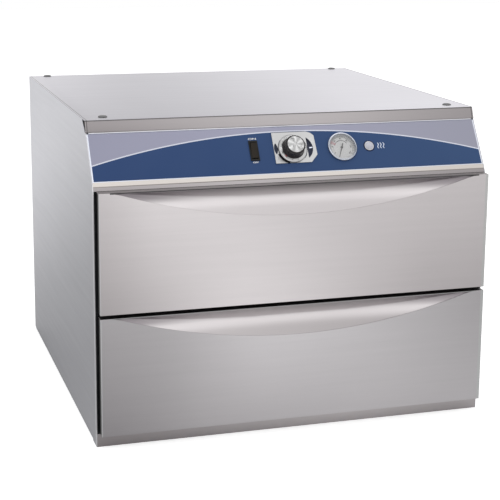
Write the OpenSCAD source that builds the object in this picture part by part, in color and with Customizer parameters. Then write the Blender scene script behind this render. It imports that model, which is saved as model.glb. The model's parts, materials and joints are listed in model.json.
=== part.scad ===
// Countertop warming drawer: a heated two-drawer cabinet in folded stainless sheet.
// +X is the viewer's right, +Y runs to the back and +Z is up. The origin is on the
// counter, under the middle of the whole appliance.
// Inside the modules, y = 0 is the front plane of the casing.

/* [Casing] */
// Width of the casing
casing_w = 624; // [600:1:700]
// Depth of the casing, from its front plane to the rear
casing_d = 626; // [600:1:700]
// Height of the casing
casing_h = 486; // [476:1:540]
// Thickness of the casing's sheet metal
sheet_t = 1.2; // [0.8:0.1:1.6]
// Height of the folded front edge of the top cover
header_h = 18.5; // [15:0.5:22]
// Distance from the front plane back to the top cover's front edge
header_back = 57; // [52:1:64]
// How far the folded edge leans forward on its way down
header_lean = 7.5; // [4:0.5:10]
// Lean of the control panel from the vertical, in degrees
panel_lean = 33.2; // [30:0.1:36]
// Bend radius of the nose under the control panel
nose_r = 30; // [10:1:34]
// Height of the strip below the lower drawer
strip_h = 20.5; // [17:0.5:22]
// Gap under the side panels behind their front corners
side_lift = 3.5; // [2:0.5:6]
// Height of the top cover's lip over the rear panel
rear_lip_h = 13; // [10:1:20]
// Inset of the outermost plugs in the top cover from the sides
plug_inset = 32; // [24:1:60]
// Radius of a plug in the top cover
plug_r = 7; // [5:0.5:9]

/* [Drawers] */
// How far the drawer faces stand forward of the casing's front plane
face_stand = 20; // [18:0.5:26]
// Gap between a drawer face and the plane of each casing side
face_side_gap = 4.6; // [3:0.1:8]
// Gap between the two drawer faces
face_gap = 5.5; // [4:0.5:8]
// Compressed thickness of a drawer gasket
gasket_t = 2.2; // [1.5:0.1:3]
// Height of the finger pull's opening at mid width
pull_h = 46.5; // [36:0.5:52]
// Depth of the finger pull
pull_depth = 15.5; // [12:0.5:16]
// Half of the width over which the finger pull opens the face
pull_half_w = 286; // [240:1:290]
// Depth of a drawer's front plug behind the casing's front plane
plug_depth = 12; // [8:1:16]
// Clearance above a pan's rim
pan_head_gap = 17.5; // [12:0.5:40]
// Clearance under a pan
pan_floor_gap = 10; // [4:0.5:40]
// Clearance between a pan's rim and the runner beside it
pan_side_gap = 7.8; // [1:0.1:9]
// Width of a pan's rim
pan_rim = 15; // [12:0.5:17]
// Corner radius of a pan
pan_r = 26; // [10:1:40]
// Thickness of a pan's sheet
pan_t = 1; // [0.8:0.1:1.2]

/* [Cavity] */
// Thickness of the side and rear insulation
insulation_t = 34; // [28:1:36]
// Thickness of the insulation above and below the cavity
base_insulation_t = 29; // [24:1:30]
// Thickness of the cavity liner
liner_t = 1; // [0.8:0.1:1.2]
// Diameter of the heating cable
cable_d = 3.4; // [2.4:0.1:3.4]
// Distance between neighbouring runs of the heating cable
cable_pitch = 40; // [30:1:60]
// Height of the bar between the two drawer openings
mullion_h = 30; // [26:1:36]

/* [Slides] */
// Radius of a slide roller
roller_r = 12; // [10:0.5:13]
// Width of a slide roller
roller_w = 8; // [6:0.5:9]
// Radius of a roller's pin
pin_r = 3; // [2.5:0.1:4]
// Thickness of the rails and runners
rail_t = 1.5; // [1.2:0.1:2]
// Clearance between the runners' rear ends and the liner
slide_rear_gap = 22.6; // [10:0.1:60]

/* [Controls] */
// Centre of the rocker switch, to the right of the middle
rocker_x = -60.5; // [-90:0.5:-50]
// Axis of the thermostat knob, to the right of the middle
knob_x = 0.5; // [-10:0.5:10]
// Centre of the dial thermometer, to the right of the middle
gauge_x = 81; // [75:0.5:100]
// Centre of the pilot lamp, to the right of the middle
lamp_x = 125.5; // [120:0.5:200]
// Radius of the knob's silver dial
dial_r = 22.5; // [20:0.5:24]
// Radius of the knob's grip
grip_r = 15.5; // [13:0.5:17]
// Height of the knob's top above the overlay
knob_h = 20; // [16:0.5:26]
// Radius of the knob's shaft
shaft_r = 3; // [2.5:0.1:4]
// Outer radius of the dial thermometer
gauge_r = 23.5; // [20:0.5:25]
// Radius of the pilot lamp's lens
lamp_r = 7.5; // [5:0.5:9]
// Thickness of the printed overlay
overlay_t = 0.5; // [0.3:0.1:0.8]

/* [Hidden] */
$fn = 64;
fine = 0.05;              // shrink for pieces that nest inside one body
run_gap = 0.05;           // radial clearance of a pin or shaft that turns
move_gap = 0.3;           // clearance between bodies that pass each other
steel = [0.74, 0.73, 0.73];
dark_steel = [0.45, 0.45, 0.46];
wool = [0.86, 0.82, 0.62];
black = [0.08, 0.08, 0.09];
silver = [0.82, 0.82, 0.83];

// Casing: the places that the other pieces take their sizes from
half_w = casing_w / 2;
inner_w = half_w - sheet_t;              // inside faces of the side panels
screw_r = 2;                             // shank radius of every screw
screw_head = 1.8;                        // height of a screw's head
front_y = face_stand - (casing_d + screw_head + face_stand) / 2;
rear_y = casing_d - sheet_t;             // outer face of the rear panel
header_z = casing_h - header_h;
panel_top_z = header_z - 1.3;
panel_top_y = header_back - header_lean + 1;
nose_z = panel_top_z - panel_top_y / tan(panel_lean);
panel_len = panel_top_y / sin(panel_lean);
overlay_start = 16.4;                    // from the nose's corner up the slope
overlay_len = panel_len - overlay_start - 0.8;
controls_s = overlay_start + overlay_len / 2;   // row of controls, up the slope
face_bottom = strip_h + 2;
face_top = nose_z + 1.5;
face_w = casing_w - 2 * face_side_gap;
face_h = (face_top - face_bottom - face_gap) / 2;
back_y = -gasket_t - move_gap;           // rear plane of a drawer's front
cable_gap = cable_d + 0.6;               // space of the heating cable's layer
mouth_bottom = sheet_t + base_insulation_t + cable_gap + liner_t;
mouth_top = face_top - 14.5;
mullion_z = face_bottom + face_h + face_gap / 2;
frame_top = nose_z - nose_r * tan(panel_lean / 2) - 0.5;
liner_half = inner_w - insulation_t - cable_gap;      // outside of the liner
wall_x = liner_half - liner_t;                        // inside of the liner
liner_back = rear_y - sheet_t - insulation_t - cable_gap;
roof_z = mouth_top + liner_t;
deck_z = roof_z + base_insulation_t;                  // floor of the control space

// Slides, measured from the liner's wall inwards and up from a rail's underside
rail_x = wall_x - rail_t;                 // inner face of a rail's web
roller_x = rail_x - rail_t - roller_w;    // inner end of a roller
runner_x = roller_x - rail_t;             // outer face of a runner's web
seat_w = 17;                              // width of the pan's seat
seat_x = runner_x - rail_t - seat_w;      // inner edge of the pan's seat
roller_z = rail_t + move_gap + roller_r;
track_z = roller_z + roller_r + move_gap; // underside of a runner's outer flange
rail_h = track_z + rail_t + 5;
mouth_h = mouth_top - mullion_z - mullion_h / 2;      // height of the upper opening
seat_up = mouth_h - pan_head_gap;         // pan rim above the floor of its opening
rail_drop = 67;                           // pan rim above the underside of a rail
rail_up = seat_up - rail_drop;            // rail above the floor of its opening
front_roller_y = 35;
rail_end_gap = 12;                        // between a rail and the liner's rear wall
rail_len = liner_back - rail_end_gap;
runner_end = liner_back - liner_t - slide_rear_gap;
rear_roller_y = runner_end - roller_r - 4;
pan_end_gap = 10;                         // between a pan's rim and the frame's ends
pan_y = plug_depth + pan_end_gap + pan_rim;           // front of a pan's inside
pan_l = runner_end - pan_end_gap - pan_rim - pan_y;
pan_w = 2 * (runner_x - rail_t - pan_side_gap - pan_rim);
pan_h = seat_up + pan_t - pan_floor_gap;

function unit(v) = v / norm(v);
function left_of(v) = [-v[1], v[0]];
function turned(v, a) = [v[0] * cos(a) - v[1] * sin(a), v[0] * sin(a) + v[1] * cos(a)];

// The points of one rounded bend at p1, between the legs from p0 and to p2
function bend(p0, p1, p2, r, steps) =
    let (a = unit(p1 - p0), b = unit(p2 - p1),
        turn = atan2(a[0] * b[1] - a[1] * b[0], a * b),
        side = turn > 0 ? 1 : -1,
        start = p1 - a * r * tan(abs(turn) / 2),
        centre = start + left_of(a) * side * r)
    [for (i = [0 : steps]) centre + turned(start - centre, turn * i / steps)];

// A path whose inner corners are rounded with the radii in rs
function rounded(path, rs, steps = 4) = [for (i = [0 : len(path) - 1])
    each (i == 0 || i == len(path) - 1) ? [path[i]]
        : bend(path[i - 1], path[i], path[i + 1], rs[i - 1], steps)];

// The far side of a sheet of thickness t, to the left of the path at point i
function mitre(path, i, t) =
    let (a = i == 0 ? path[1] - path[0] : path[i] - path[i - 1],
        b = i == len(path) - 1 ? a : path[i + 1] - path[i],
        n1 = left_of(unit(a)), n = unit(n1 + left_of(unit(b))))
    path[i] + n * t / (n * n1);

function sheet_outline(path, t) =
    concat(path, [for (i = [len(path) - 1 : -1 : 0]) mitre(path, i, t)]);

// A block between two corners
module block(low, high) {
    translate(low) cube(high - low);
}

// A profile drawn in (y, z), run along x
module along_x(x0, x1) {
    translate([x0, 0, 0]) rotate([90, 0, 90]) linear_extrude(x1 - x0) children();
}

// A profile drawn in (x, z), run along y
module along_y(y0, y1) {
    translate([0, y1, 0]) rotate([90, 0, 0]) linear_extrude(y1 - y0) children();
}

// A sheet bent along a path in (y, z)
module bent_sheet(path, t, x0, x1) {
    along_x(x0, x1) polygon(sheet_outline(path, t));
}

// Puts a piece from the casing's front plane into the shared frame
module placed() {
    translate([0, front_y, 0]) children();
}

// Local axes on the control panel: x to the right, y up the slope, z out of it
module on_panel(x, s, h = 0) {
    translate([x, s * sin(panel_lean), nose_z + s * cos(panel_lean)])
        rotate([90 - panel_lean, 0, 0]) translate([0, 0, h]) children();
}

module both_sides() {
    children();
    mirror([1, 0, 0]) children();
}

module rounded_rect(w, l, r) {
    square([w - 2 * r, l], center = true);
    square([w, l - 2 * r], center = true);
    for (x = [-1, 1], y = [-1, 1])
        translate([x * (w / 2 - r), y * (l / 2 - r)]) circle(r);
}

// ---- Casing ----

cover_bend = 2;           // bend radius at the cover's rear edge
cover_path = rounded([[header_back - 1, header_z], [panel_top_y - 1, header_z],
    [header_back, casing_h], [casing_d, casing_h], [casing_d, casing_h - rear_lip_h]],
    [1.6, 3, cover_bend]);
plug_ys = [header_back + 26.5, casing_d - 12];
plug_xs = [-half_w + plug_inset, half_w - plug_inset];

module at_plugs() {
    for (x = plug_xs, y = plug_ys) translate([x, y, 0]) children();
}

module top_cover() {
    color(steel) placed() difference() {
        bent_sheet(cover_path, -sheet_t, -half_w, half_w);
        at_plugs() translate([0, 0, casing_h - 5]) cylinder(r = plug_r - 1, h = 10);
        at_lip_screws() translate([0, 0, -5]) cylinder(r = screw_r, h = 10);
    }
}

plug_h = 2.2;             // height of a plug's head
module top_plugs() {
    color(black) placed() at_plugs() {
        translate([0, 0, casing_h - sheet_t - 4]) cylinder(r = plug_r - 1 - fine, h = 4 + sheet_t);
        translate([0, 0, casing_h]) cylinder(r = plug_r, h = plug_h / 2);
        translate([0, 0, casing_h + plug_h / 2])
            cylinder(r1 = plug_r, r2 = plug_r - plug_h, h = plug_h / 2);
    }
}

// Outline of a side panel in (y, z)
toe_l = 28;               // length of the front corner that reaches the counter
flange_w = 12;            // width of the side panels' folded flanges
side_outline = concat(
    [[0, 0], [toe_l, 0], [toe_l + 3, side_lift], [rear_y, side_lift],
        [rear_y, casing_h - sheet_t - cover_bend], [rear_y - cover_bend, casing_h - sheet_t],
        [header_back + 22, casing_h - sheet_t], [header_back + 1, header_z - fine],
        [panel_top_y, header_z - fine]],
    bend([panel_top_y, panel_top_z], [0, nose_z], [0, 0], nose_r, 6));

module side_panel() {
    along_x(inner_w, half_w) polygon(side_outline);
    block([inner_w - flange_w, sheet_t, strip_h], [inner_w, 2 * sheet_t, frame_top]);
    difference() {
        block([inner_w - flange_w, rear_y - 2 * sheet_t, side_lift],
            [inner_w, rear_y - sheet_t, casing_h - 2 * sheet_t]);
        at_rear_screws() translate([0, 0, -5]) cylinder(r = screw_r, h = 10);
    }
    block([inner_w - flange_w, header_back + 2 * flange_w, casing_h - 2 * sheet_t],
        [inner_w, rear_y - sheet_t, casing_h - sheet_t]);
}

module left_side_panel() {
    color(steel) placed() mirror([1, 0, 0]) side_panel();
}

module right_side_panel() {
    color(steel) placed() side_panel();
}

rear_screw_inset = 45;
rear_screw_zs = [for (i = [0 : 3]) rear_screw_inset + i * (casing_h - 2 * rear_screw_inset) / 3];

// Local z points out of the rear panel
module at_rear_screws() {
    for (x = [-1, 1], z = rear_screw_zs)
        translate([x * (inner_w - flange_w / 2), rear_y, z]) rotate([-90, 0, 0]) children();
}

module at_lip_screws() {
    for (x = [-1, 0, 1])
        translate([x * (half_w - rear_screw_inset), casing_d, casing_h - rear_lip_h / 2])
            rotate([-90, 0, 0]) children();
}

cord_x = half_w - 62;
cord_z = deck_z + 30;
bushing_r = 11;
vent_count = 9;
vent_pitch = 16;

module rear_panel() {
    color(steel) placed() difference() {
        block([-inner_w, rear_y - sheet_t, side_lift],
            [inner_w, rear_y, casing_h - sheet_t - cover_bend]);
        at_rear_screws() translate([0, 0, -5]) cylinder(r = screw_r, h = 10);
        at_lip_screws() translate([0, 0, -10]) cylinder(r = screw_r, h = 12);
        translate([cord_x, rear_y, cord_z]) rotate([90, 0, 0])
            cylinder(r = bushing_r - 2, h = 10, center = true);
        for (i = [0 : vent_count - 1])
            translate([(i - (vent_count - 1) / 2) * vent_pitch, rear_y, cord_z])
                cube([5, 10, 36], center = true);
    }
}

module casing_screws() {
    color(silver) placed() {
        at_rear_screws() screw(3 * sheet_t);
        at_lip_screws() screw(3 * sheet_t);
    }
}

// A pan-head screw whose head sits on z = 0 and whose shank runs down by h
module screw(h) {
    cylinder(r1 = 2 * screw_r, r2 = 1.5 * screw_r, h = screw_head);
    translate([0, 0, -h]) cylinder(r = screw_r - fine, h = h);
}

// The cord's bushing: a flanged ring whose bore is open to the control space
cord_r = 5;
module cord_bushing() {
    color(black) placed() translate([cord_x, rear_y, cord_z]) rotate([-90, 0, 0])
        difference() {
            union() {
                cylinder(r = bushing_r, h = sheet_t);
                translate([0, 0, -12]) cylinder(r = bushing_r - 2 - fine, h = 12);
            }
            translate([0, 0, -13]) cylinder(r = cord_r, h = 16);
        }
}

strip_return = 20;        // depth of the front strip's folded top

module base_pan() {
    color(dark_steel) placed() {
        block([-inner_w, sheet_t, 0], [inner_w, rear_y - 2 * sheet_t, sheet_t]);
        both_sides() block([inner_w - sheet_t, 1.5 * strip_return, sheet_t],
            [inner_w, rear_y - 4 * sheet_t, strip_h]);
        block([-inner_w + flange_w + 2, rear_y - 2 * sheet_t - fine, 0],
            [inner_w - flange_w - 2, rear_y - sheet_t, strip_h]);
    }
}

module base_front_strip() {
    color(steel) placed() {
        block([-inner_w + fine, 0, 0], [inner_w - fine, sheet_t, strip_h]);
        block([-inner_w + fine, sheet_t, strip_h - sheet_t],
            [inner_w - fine, strip_return, strip_h]);
    }
}

lower_mouth = [mouth_bottom, mullion_z - mullion_h / 2];
upper_mouth = [mullion_z + mullion_h / 2, mouth_top];

module front_frame() {
    color(steel) placed() difference() {
        block([-inner_w, 0, strip_h], [inner_w, sheet_t, frame_top]);
        for (mouth = [lower_mouth, upper_mouth])
            block([-wall_x, -1, mouth[0]], [wall_x, sheet_t + 1, mouth[1]]);
    }
}

panel_path = concat([[0, frame_top]],
    bend([0, 0], [0, nose_z], [panel_top_y, panel_top_z], nose_r, 8),
    bend([0, nose_z], [panel_top_y, panel_top_z], [casing_d, panel_top_z], 2, 3),
    [[header_back + 24, panel_top_z]]);

module control_panel() {
    color(steel) placed() difference() {
        bent_sheet(panel_path, -sheet_t, -inner_w + fine, inner_w - fine);
        panel_holes();
    }
}

rocker_w = 14;
rocker_l = 33;
bush_r = 5;
gauge_body_r = gauge_r - 1.2;
lamp_body_r = 5.5;

module panel_holes() {
    on_panel(rocker_x, controls_s) cube([rocker_w - 2, rocker_l - 4, 20], center = true);
    on_panel(knob_x, controls_s, -10) cylinder(r = bush_r + fine, h = 20);
    on_panel(gauge_x, controls_s, -10) cylinder(r = gauge_body_r + fine, h = 20);
    on_panel(lamp_x, controls_s, -10) cylinder(r = lamp_body_r + fine, h = 20);
}

module control_overlay() {
    color([0.20, 0.31, 0.48]) placed() difference() {
        on_panel(0, overlay_start)
            translate([-inner_w + 2, 0, 0]) cube([2 * inner_w - 4, overlay_len, overlay_t]);
        panel_holes();
    }
}

// ---- Thermostat ----

bezel_h = 2;
bezel_outline = [[-30, -23], [27, -23], [38, -11], [37, 21], [32, 25.5], [23.5, 28.3], [-30, 28.3]];
window_floor = 1;         // of the bezel's windows, above the overlay
leaf = [6, 18.6];         // width and height of the left window
segment = [7.2, 29.8];    // width and height of the right window
window_gap = 1;           // from the dial's rim to each window

// Radius of an arc that rises by `rise` over a chord
function arc_radius(chord, rise) = (chord * chord / 4 + rise * rise) / (2 * rise);

// The bezel's two windows: a pointed leaf on the left and a circle's segment on the right
module bezel_windows() {
    leaf_r = arc_radius(leaf.y, leaf.x / 2);
    translate([-dial_r - window_gap - leaf.x / 2, 1]) intersection_for(side = [-1, 1])
        translate([side * (leaf_r - leaf.x / 2), 0]) circle(leaf_r);
    segment_r = arc_radius(segment.y, segment.x);
    translate([dial_r + window_gap, 1]) intersection() {
        translate([segment.x - segment_r, 0]) circle(segment_r);
        translate([0, -segment.y]) square([segment.x, 2 * segment.y]);
    }
}

module bezel_plate() {
    color(silver) placed() on_panel(knob_x, controls_s, overlay_t) difference() {
        linear_extrude(bezel_h) difference() {
            polygon(bezel_outline);
            circle(bush_r + 1);
        }
        translate([0, 0, window_floor]) linear_extrude(5) bezel_windows();
        translate([0, 0, 1.2]) cylinder(r = dial_r + 1, h = 5);
    }
}

thermostat_depth = 26;
module thermostat_body() {
    color(dark_steel) placed() on_panel(knob_x, controls_s) difference() {
        union() {
            translate([-22, -14, -sheet_t - thermostat_depth]) cube([44, 28, thermostat_depth]);
            translate([0, 0, -sheet_t]) cylinder(r = bush_r, h = sheet_t + overlay_t + 2);
        }
        translate([0, 0, -18]) cylinder(r = shaft_r + run_gap, h = 40);
    }
}

dial_z = overlay_t + bezel_h + 0.7;       // underside of the knob's dial
grip_z = dial_z + 2.4;
skirt_h = 4.5;                            // height of the grip's flared foot
cap_z = overlay_t + knob_h - 1.4;

module at_knob() {
    placed() on_panel(knob_x, controls_s) children();
}

module knob_shaft() {
    color(dark_steel) at_knob() translate([0, 0, -17.5]) cylinder(r = shaft_r, h = cap_z + 15.5);
}

module knob_dial() {
    color(silver) at_knob() difference() {
        union() {
            translate([0, 0, dial_z]) cylinder(r = dial_r, h = 0.8);
            translate([0, 0, dial_z + 0.8]) cylinder(r1 = dial_r, r2 = dial_r - 1.6, h = 1.6);
        }
        translate([0, 0, dial_z - 1]) cylinder(r = bush_r + 1, h = 1.5);
        translate([0, 0, dial_z - 1]) cylinder(r = shaft_r + fine, h = 6);
    }
}

module knob_grip() {
    color(black) at_knob() difference() {
        union() {
            translate([0, 0, grip_z]) cylinder(r = grip_r, h = cap_z - 1 - grip_z);
            translate([0, 0, grip_z]) cylinder(r1 = grip_r + 2.2, r2 = grip_r, h = skirt_h);
            translate([0, 0, cap_z - 1]) cylinder(r1 = grip_r - 1, r2 = grip_r - 1.6, h = 1);
        }
        translate([0, 0, grip_z - 1]) cylinder(r = shaft_r + fine, h = cap_z - 2 - grip_z + 1);
        for (i = [0 : 23])
            rotate(i * 15) translate([grip_r + 0.3, 0, grip_z + skirt_h])
                cylinder(r = 1, h = cap_z - 1 - grip_z, $fn = 16);
    }
}

module knob_cap() {
    color(silver) at_knob() {
        translate([0, 0, cap_z]) cylinder(r = grip_r - 2.4, h = 0.8);
        translate([0, 0, cap_z + 0.8]) cylinder(r1 = grip_r - 2.4, r2 = grip_r - 3.2, h = 0.6);
    }
}

// A sensing bulb under the cavity's roof, on a capillary that climbs to a control
bulb_r = 4;
bulb_l = 90;
capillary_r = 1.2;
capillary_l = 12;         // of the straight stretch before the bulb
elbow_r = 4.5;
bulb_y = 150;
clip_w = 8;
capillary_y = bulb_y - capillary_l - elbow_r;         // where the capillary passes the roof
module sensor(x, end_y, end_z) {
    bulb_z = mouth_top - bulb_r - 1;
    translate([x, bulb_y, bulb_z]) rotate([-90, 0, 0]) cylinder(r = bulb_r, h = bulb_l);
    translate([x, bulb_y - capillary_l, bulb_z]) rotate([-90, 0, 0])
        cylinder(r = capillary_r, h = capillary_l + 1);
    translate([x, bulb_y - capillary_l, bulb_z + elbow_r]) rotate([0, -90, 0])
        rotate([0, 0, 180]) rotate_extrude(angle = 90) translate([elbow_r, 0]) circle(capillary_r);
    translate([x, capillary_y, bulb_z + elbow_r])
        cylinder(r = capillary_r, h = end_z - elbow_r - bulb_z - elbow_r);
    translate([x, capillary_y - elbow_r, end_z - elbow_r]) rotate([0, -90, 0])
        rotate_extrude(angle = 90) translate([elbow_r, 0]) circle(capillary_r);
    translate([x, end_y, end_z]) rotate([-90, 0, 0])
        cylinder(r = capillary_r, h = capillary_y - elbow_r - end_y);
    for (y = [bulb_y + 2 * clip_w, bulb_y + bulb_l - 3 * clip_w])
        block([x - 1, y, bulb_z + bulb_r - 0.5], [x + 1, y + clip_w, mouth_top]);
}

module capillary_holes() {
    for (x = [knob_x, gauge_x])
        translate([x, capillary_y, mouth_top - 5])
            cylinder(r = capillary_r + 0.3, h = deck_z - mouth_top + 10);
}

// Height on the slope's back at which a capillary meets its control
function control_back(h) = [
    controls_s * sin(panel_lean) + h * cos(panel_lean),
    nose_z + controls_s * cos(panel_lean) - h * sin(panel_lean)];

module thermostat_sensor() {
    back = control_back(sheet_t + thermostat_depth);
    color([0.72, 0.45, 0.28]) placed() sensor(knob_x, back[0] + capillary_r, back[1]);
}

module thermometer_sensor() {
    back = control_back(sheet_t + gauge_depth);
    color([0.72, 0.45, 0.28]) placed() sensor(gauge_x, back[0] + capillary_r, back[1]);
}

// ---- Rocker switch ----

rocker_pin_r = 1.2;
rocker_pin_h = -3;

module at_rocker() {
    placed() on_panel(rocker_x, controls_s, overlay_t) children();
}

module rocker_housing() {
    color(black) at_rocker() difference() {
        union() {
            translate([-rocker_w / 2, -rocker_l / 2, 0]) cube([rocker_w, rocker_l, 1.6]);
            translate([-rocker_w / 2 + 1 + fine, -rocker_l / 2 + 2 + fine, -22])
                cube([rocker_w - 2 - 2 * fine, rocker_l - 4 - 2 * fine, 22.5]);
        }
        translate([-rocker_w / 2 + 2, -rocker_l / 2 + 3, -12]) cube([rocker_w - 4, rocker_l - 6, 20]);
        translate([0, 0, rocker_pin_h]) rotate([0, 90, 0])
            cylinder(r = rocker_pin_r + run_gap, h = rocker_w - 2.6, center = true);
    }
}

// The rocker's side view: two flat wings that meet at a shallow angle
module rocker_button() {
    wing = rocker_l / 2 - 4.6;
    color(black) at_rocker() {
        translate([-rocker_w / 2 + 2.3, 0, 0]) rotate([90, 0, 90]) linear_extrude(rocker_w - 4.6)
            polygon([[-wing + 0.8, -4], [-3, -6.5], [3, -6.5], [wing - 0.2, -1.5], [wing, 4.2],
                [0, 2], [-wing, 1.6]]);
        translate([0, 0, rocker_pin_h]) rotate([0, 90, 0])
            cylinder(r = rocker_pin_r, h = rocker_w - 2.9, center = true);
    }
}

// ---- Dial thermometer ----

module at_gauge() {
    placed() on_panel(gauge_x, controls_s, overlay_t) children();
}

gauge_rim_h = 4.5;
gauge_depth = 14;
spindle_r = 0.8;
needle_turn = 158;        // the needle's rest, anticlockwise from straight up

module thermometer_case() {
    color(silver) at_gauge() difference() {
        union() {
            cylinder(r = gauge_r, h = gauge_rim_h - 1.2);
            translate([0, 0, gauge_rim_h - 1.2]) cylinder(r1 = gauge_r, r2 = gauge_r - 1.2, h = 1.2);
            translate([0, 0, -overlay_t - sheet_t - gauge_depth])
                cylinder(r = gauge_body_r, h = overlay_t + sheet_t + gauge_depth);
        }
        translate([0, 0, -3]) cylinder(r = gauge_r - 2.6, h = 20);
        translate([0, 0, -12]) cylinder(r = spindle_r + 1, h = 20);
    }
}

module thermometer_dial() {
    color("white") at_gauge() difference() {
        translate([0, 0, -3]) cylinder(r = gauge_r - 2.6 - fine, h = 1.5);
        translate([0, 0, -4]) cylinder(r = spindle_r + run_gap, h = 4);
    }
}

module thermometer_needle() {
    color(black) at_gauge() {
        translate([0, 0, -10]) cylinder(r = spindle_r, h = 10.2);
        translate([0, 0, -0.9]) cylinder(r = 2, h = 0.9);
        rotate(needle_turn) translate([0, 0, -0.9]) linear_extrude(0.5)
            polygon([[-1, -7], [1, -7], [0.35, gauge_r - 6], [-0.35, gauge_r - 6]]);
    }
}

module thermometer_lens() {
    color([0.9, 0.95, 1, 0.35]) at_gauge()
        translate([0, 0, 2]) cylinder(r = gauge_r - 2.6 - fine, h = 1.4);
}

// ---- Pilot lamp ----

module lamp_body() {
    color(silver) placed() on_panel(lamp_x, controls_s) difference() {
        union() {
            translate([0, 0, -22]) cylinder(r = lamp_body_r, h = 22 + overlay_t);
            translate([0, 0, overlay_t]) cylinder(r = lamp_r, h = 1.2);
            translate([0, 0, -sheet_t - 3]) cylinder(r = lamp_r + 1.5, h = 3);
        }
        translate([0, 0, -14]) cylinder(r = lamp_body_r - 1.5, h = 20);
    }
}

lens_r = lamp_r - 0.6;
lens_h = 2.8;             // height of the lens' dome
dome_r = arc_radius(2 * lens_r, lens_h);
module lamp_lens() {
    color([1, 1, 1, 0.6]) placed() on_panel(lamp_x, controls_s, overlay_t + 1.2) {
        rotate_extrude() intersection() {
            translate([0, lens_h - dome_r]) circle(dome_r);
            square([lamp_r, lamp_r]);
        }
        translate([0, 0, -4]) cylinder(r = lamp_body_r - 1.5 - fine, h = 4);
    }
}

// ---- Wiring and heat ----

block_l = 40;             // length of the terminal block
block_back = 90;          // from the rear panel to the block's front
module terminal_block() {
    color("ivory") placed() difference() {
        translate([cord_x - block_l + 5, rear_y - block_back, deck_z]) cube([block_l, 20, 16]);
        for (i = [0 : 2])
            translate([cord_x - block_l + 13 + i * 12, rear_y - block_back + 10, deck_z + 6])
                cylinder(r = 2.5, h = 20);
    }
}

// A flat winding of n runs along y, stacked along z from z0, in the plane x = 0
module cable_winding(n, y0, y1, z0) {
    r = cable_d / 2;
    $fn = 16;
    for (i = [0 : n - 1])
        translate([0, y0, z0 + i * cable_pitch]) rotate([-90, 0, 0]) cylinder(r = r, h = y1 - y0);
    for (i = [0 : n - 2])
        translate([0, i % 2 == 0 ? y1 : y0, z0 + (i + 0.5) * cable_pitch])
            rotate([0, 90, i % 2 == 0 ? 0 : 180]) rotate_extrude(angle = 180)
                translate([cable_pitch / 2, 0]) circle(r);
}

cable_y0 = 60;
cable_y1 = liner_back - 40;
side_runs = floor((roof_z - mouth_bottom - 30) / cable_pitch);
base_runs = floor((2 * liner_half - 60) / cable_pitch);

module heating_cable() {
    color([0.7, 0.7, 0.68]) placed() {
        both_sides() translate([liner_half + cable_gap / 2, 0, 0])
            cable_winding(side_runs, cable_y0, cable_y1, mouth_bottom + 20);
        translate([-(base_runs - 1) * cable_pitch / 2, 0, mouth_bottom - liner_t - cable_gap / 2])
            rotate([0, 90, 0]) cable_winding(base_runs, cable_y0, cable_y1, 0);
    }
}

module cavity_liner() {
    color(steel) placed() difference() {
        block([-liner_half, sheet_t, mouth_bottom - liner_t], [liner_half, liner_back, roof_z]);
        block([-wall_x, -1, mouth_bottom], [wall_x, liner_back - liner_t, mouth_top]);
        capillary_holes();
    }
}

// Space kept free behind the nose of the control panel
module nose_space() {
    block([-half_w, -1, frame_top - 5], [half_w, 22, deck_z + 5]);
}

module side_insulation() {
    difference() {
        block([inner_w - insulation_t, 3 * sheet_t, strip_h + sheet_t],
            [inner_w, rear_y - 3 * sheet_t, deck_z]);
        nose_space();
    }
}

module left_insulation() {
    color(wool) placed() mirror([1, 0, 0]) side_insulation();
}

module right_insulation() {
    color(wool) placed() side_insulation();
}

module base_insulation() {
    x = inner_w - insulation_t;
    color(wool) placed() block([-x, strip_return + 1, sheet_t],
        [x, rear_y - 4 * sheet_t, sheet_t + base_insulation_t]);
}

module roof_insulation() {
    x = inner_w - insulation_t;
    color(wool) placed() difference() {
        block([-x, 3 * sheet_t, roof_z], [x, rear_y - 3 * sheet_t, deck_z]);
        nose_space();
        capillary_holes();
    }
}

module rear_insulation() {
    x = inner_w - insulation_t;
    color(wool) placed() block([-x, rear_y - 3 * sheet_t - insulation_t, sheet_t + base_insulation_t],
        [x, rear_y - 3 * sheet_t, roof_z]);
}

// ---- Slides ----

module at_pin(y, z) {
    translate([0, y, z]) rotate([0, 90, 0]) children();
}

// The right rail of an opening whose floor is at z = 0
module rail() {
    lip_x = runner_x + 1;
    translate([0, 0, rail_up]) {
        block([rail_x, 2 * sheet_t, 0], [wall_x, rail_len, rail_h + rail_t]);
        block([lip_x, 2 * sheet_t, 0], [rail_x, rail_len, rail_t]);
        block([lip_x, 2 * sheet_t, rail_h], [rail_x, rail_len, rail_h + rail_t]);
        translate([roller_x - 0.5, 0, 0]) at_pin(front_roller_y, roller_z)
            cylinder(r = pin_r, h = rail_x - roller_x + 0.5);
    }
}

// The right runner: track flange outside, web, and the pan's seat inside
module runner() {
    web_x = runner_x - rail_t;
    translate([0, 0, rail_up]) {
        block([web_x, plug_depth, rail_t + 2], [runner_x, runner_end, seat_up - rail_up]);
        block([runner_x, plug_depth, track_z], [roller_x + roller_w, runner_end, track_z + rail_t]);
        translate([runner_x, 0, 0]) at_pin(rear_roller_y, roller_z)
            cylinder(r = pin_r, h = roller_x + roller_w + 0.5 - runner_x);
    }
    block([seat_x, plug_depth, seat_up - rail_t], [web_x, runner_end, seat_up]);
}

module roller(y) {
    translate([roller_x, 0, rail_up]) at_pin(y, roller_z) difference() {
        cylinder(r = roller_r, h = roller_w);
        translate([0, 0, -1]) cylinder(r = pin_r + run_gap, h = roller_w + 2);
    }
}

module rails(floor_z) {
    color(dark_steel) placed() translate([0, 0, floor_z]) both_sides() rail();
}

module runners(floor_z) {
    color(dark_steel) placed() translate([0, 0, floor_z]) both_sides() runner();
}

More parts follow.
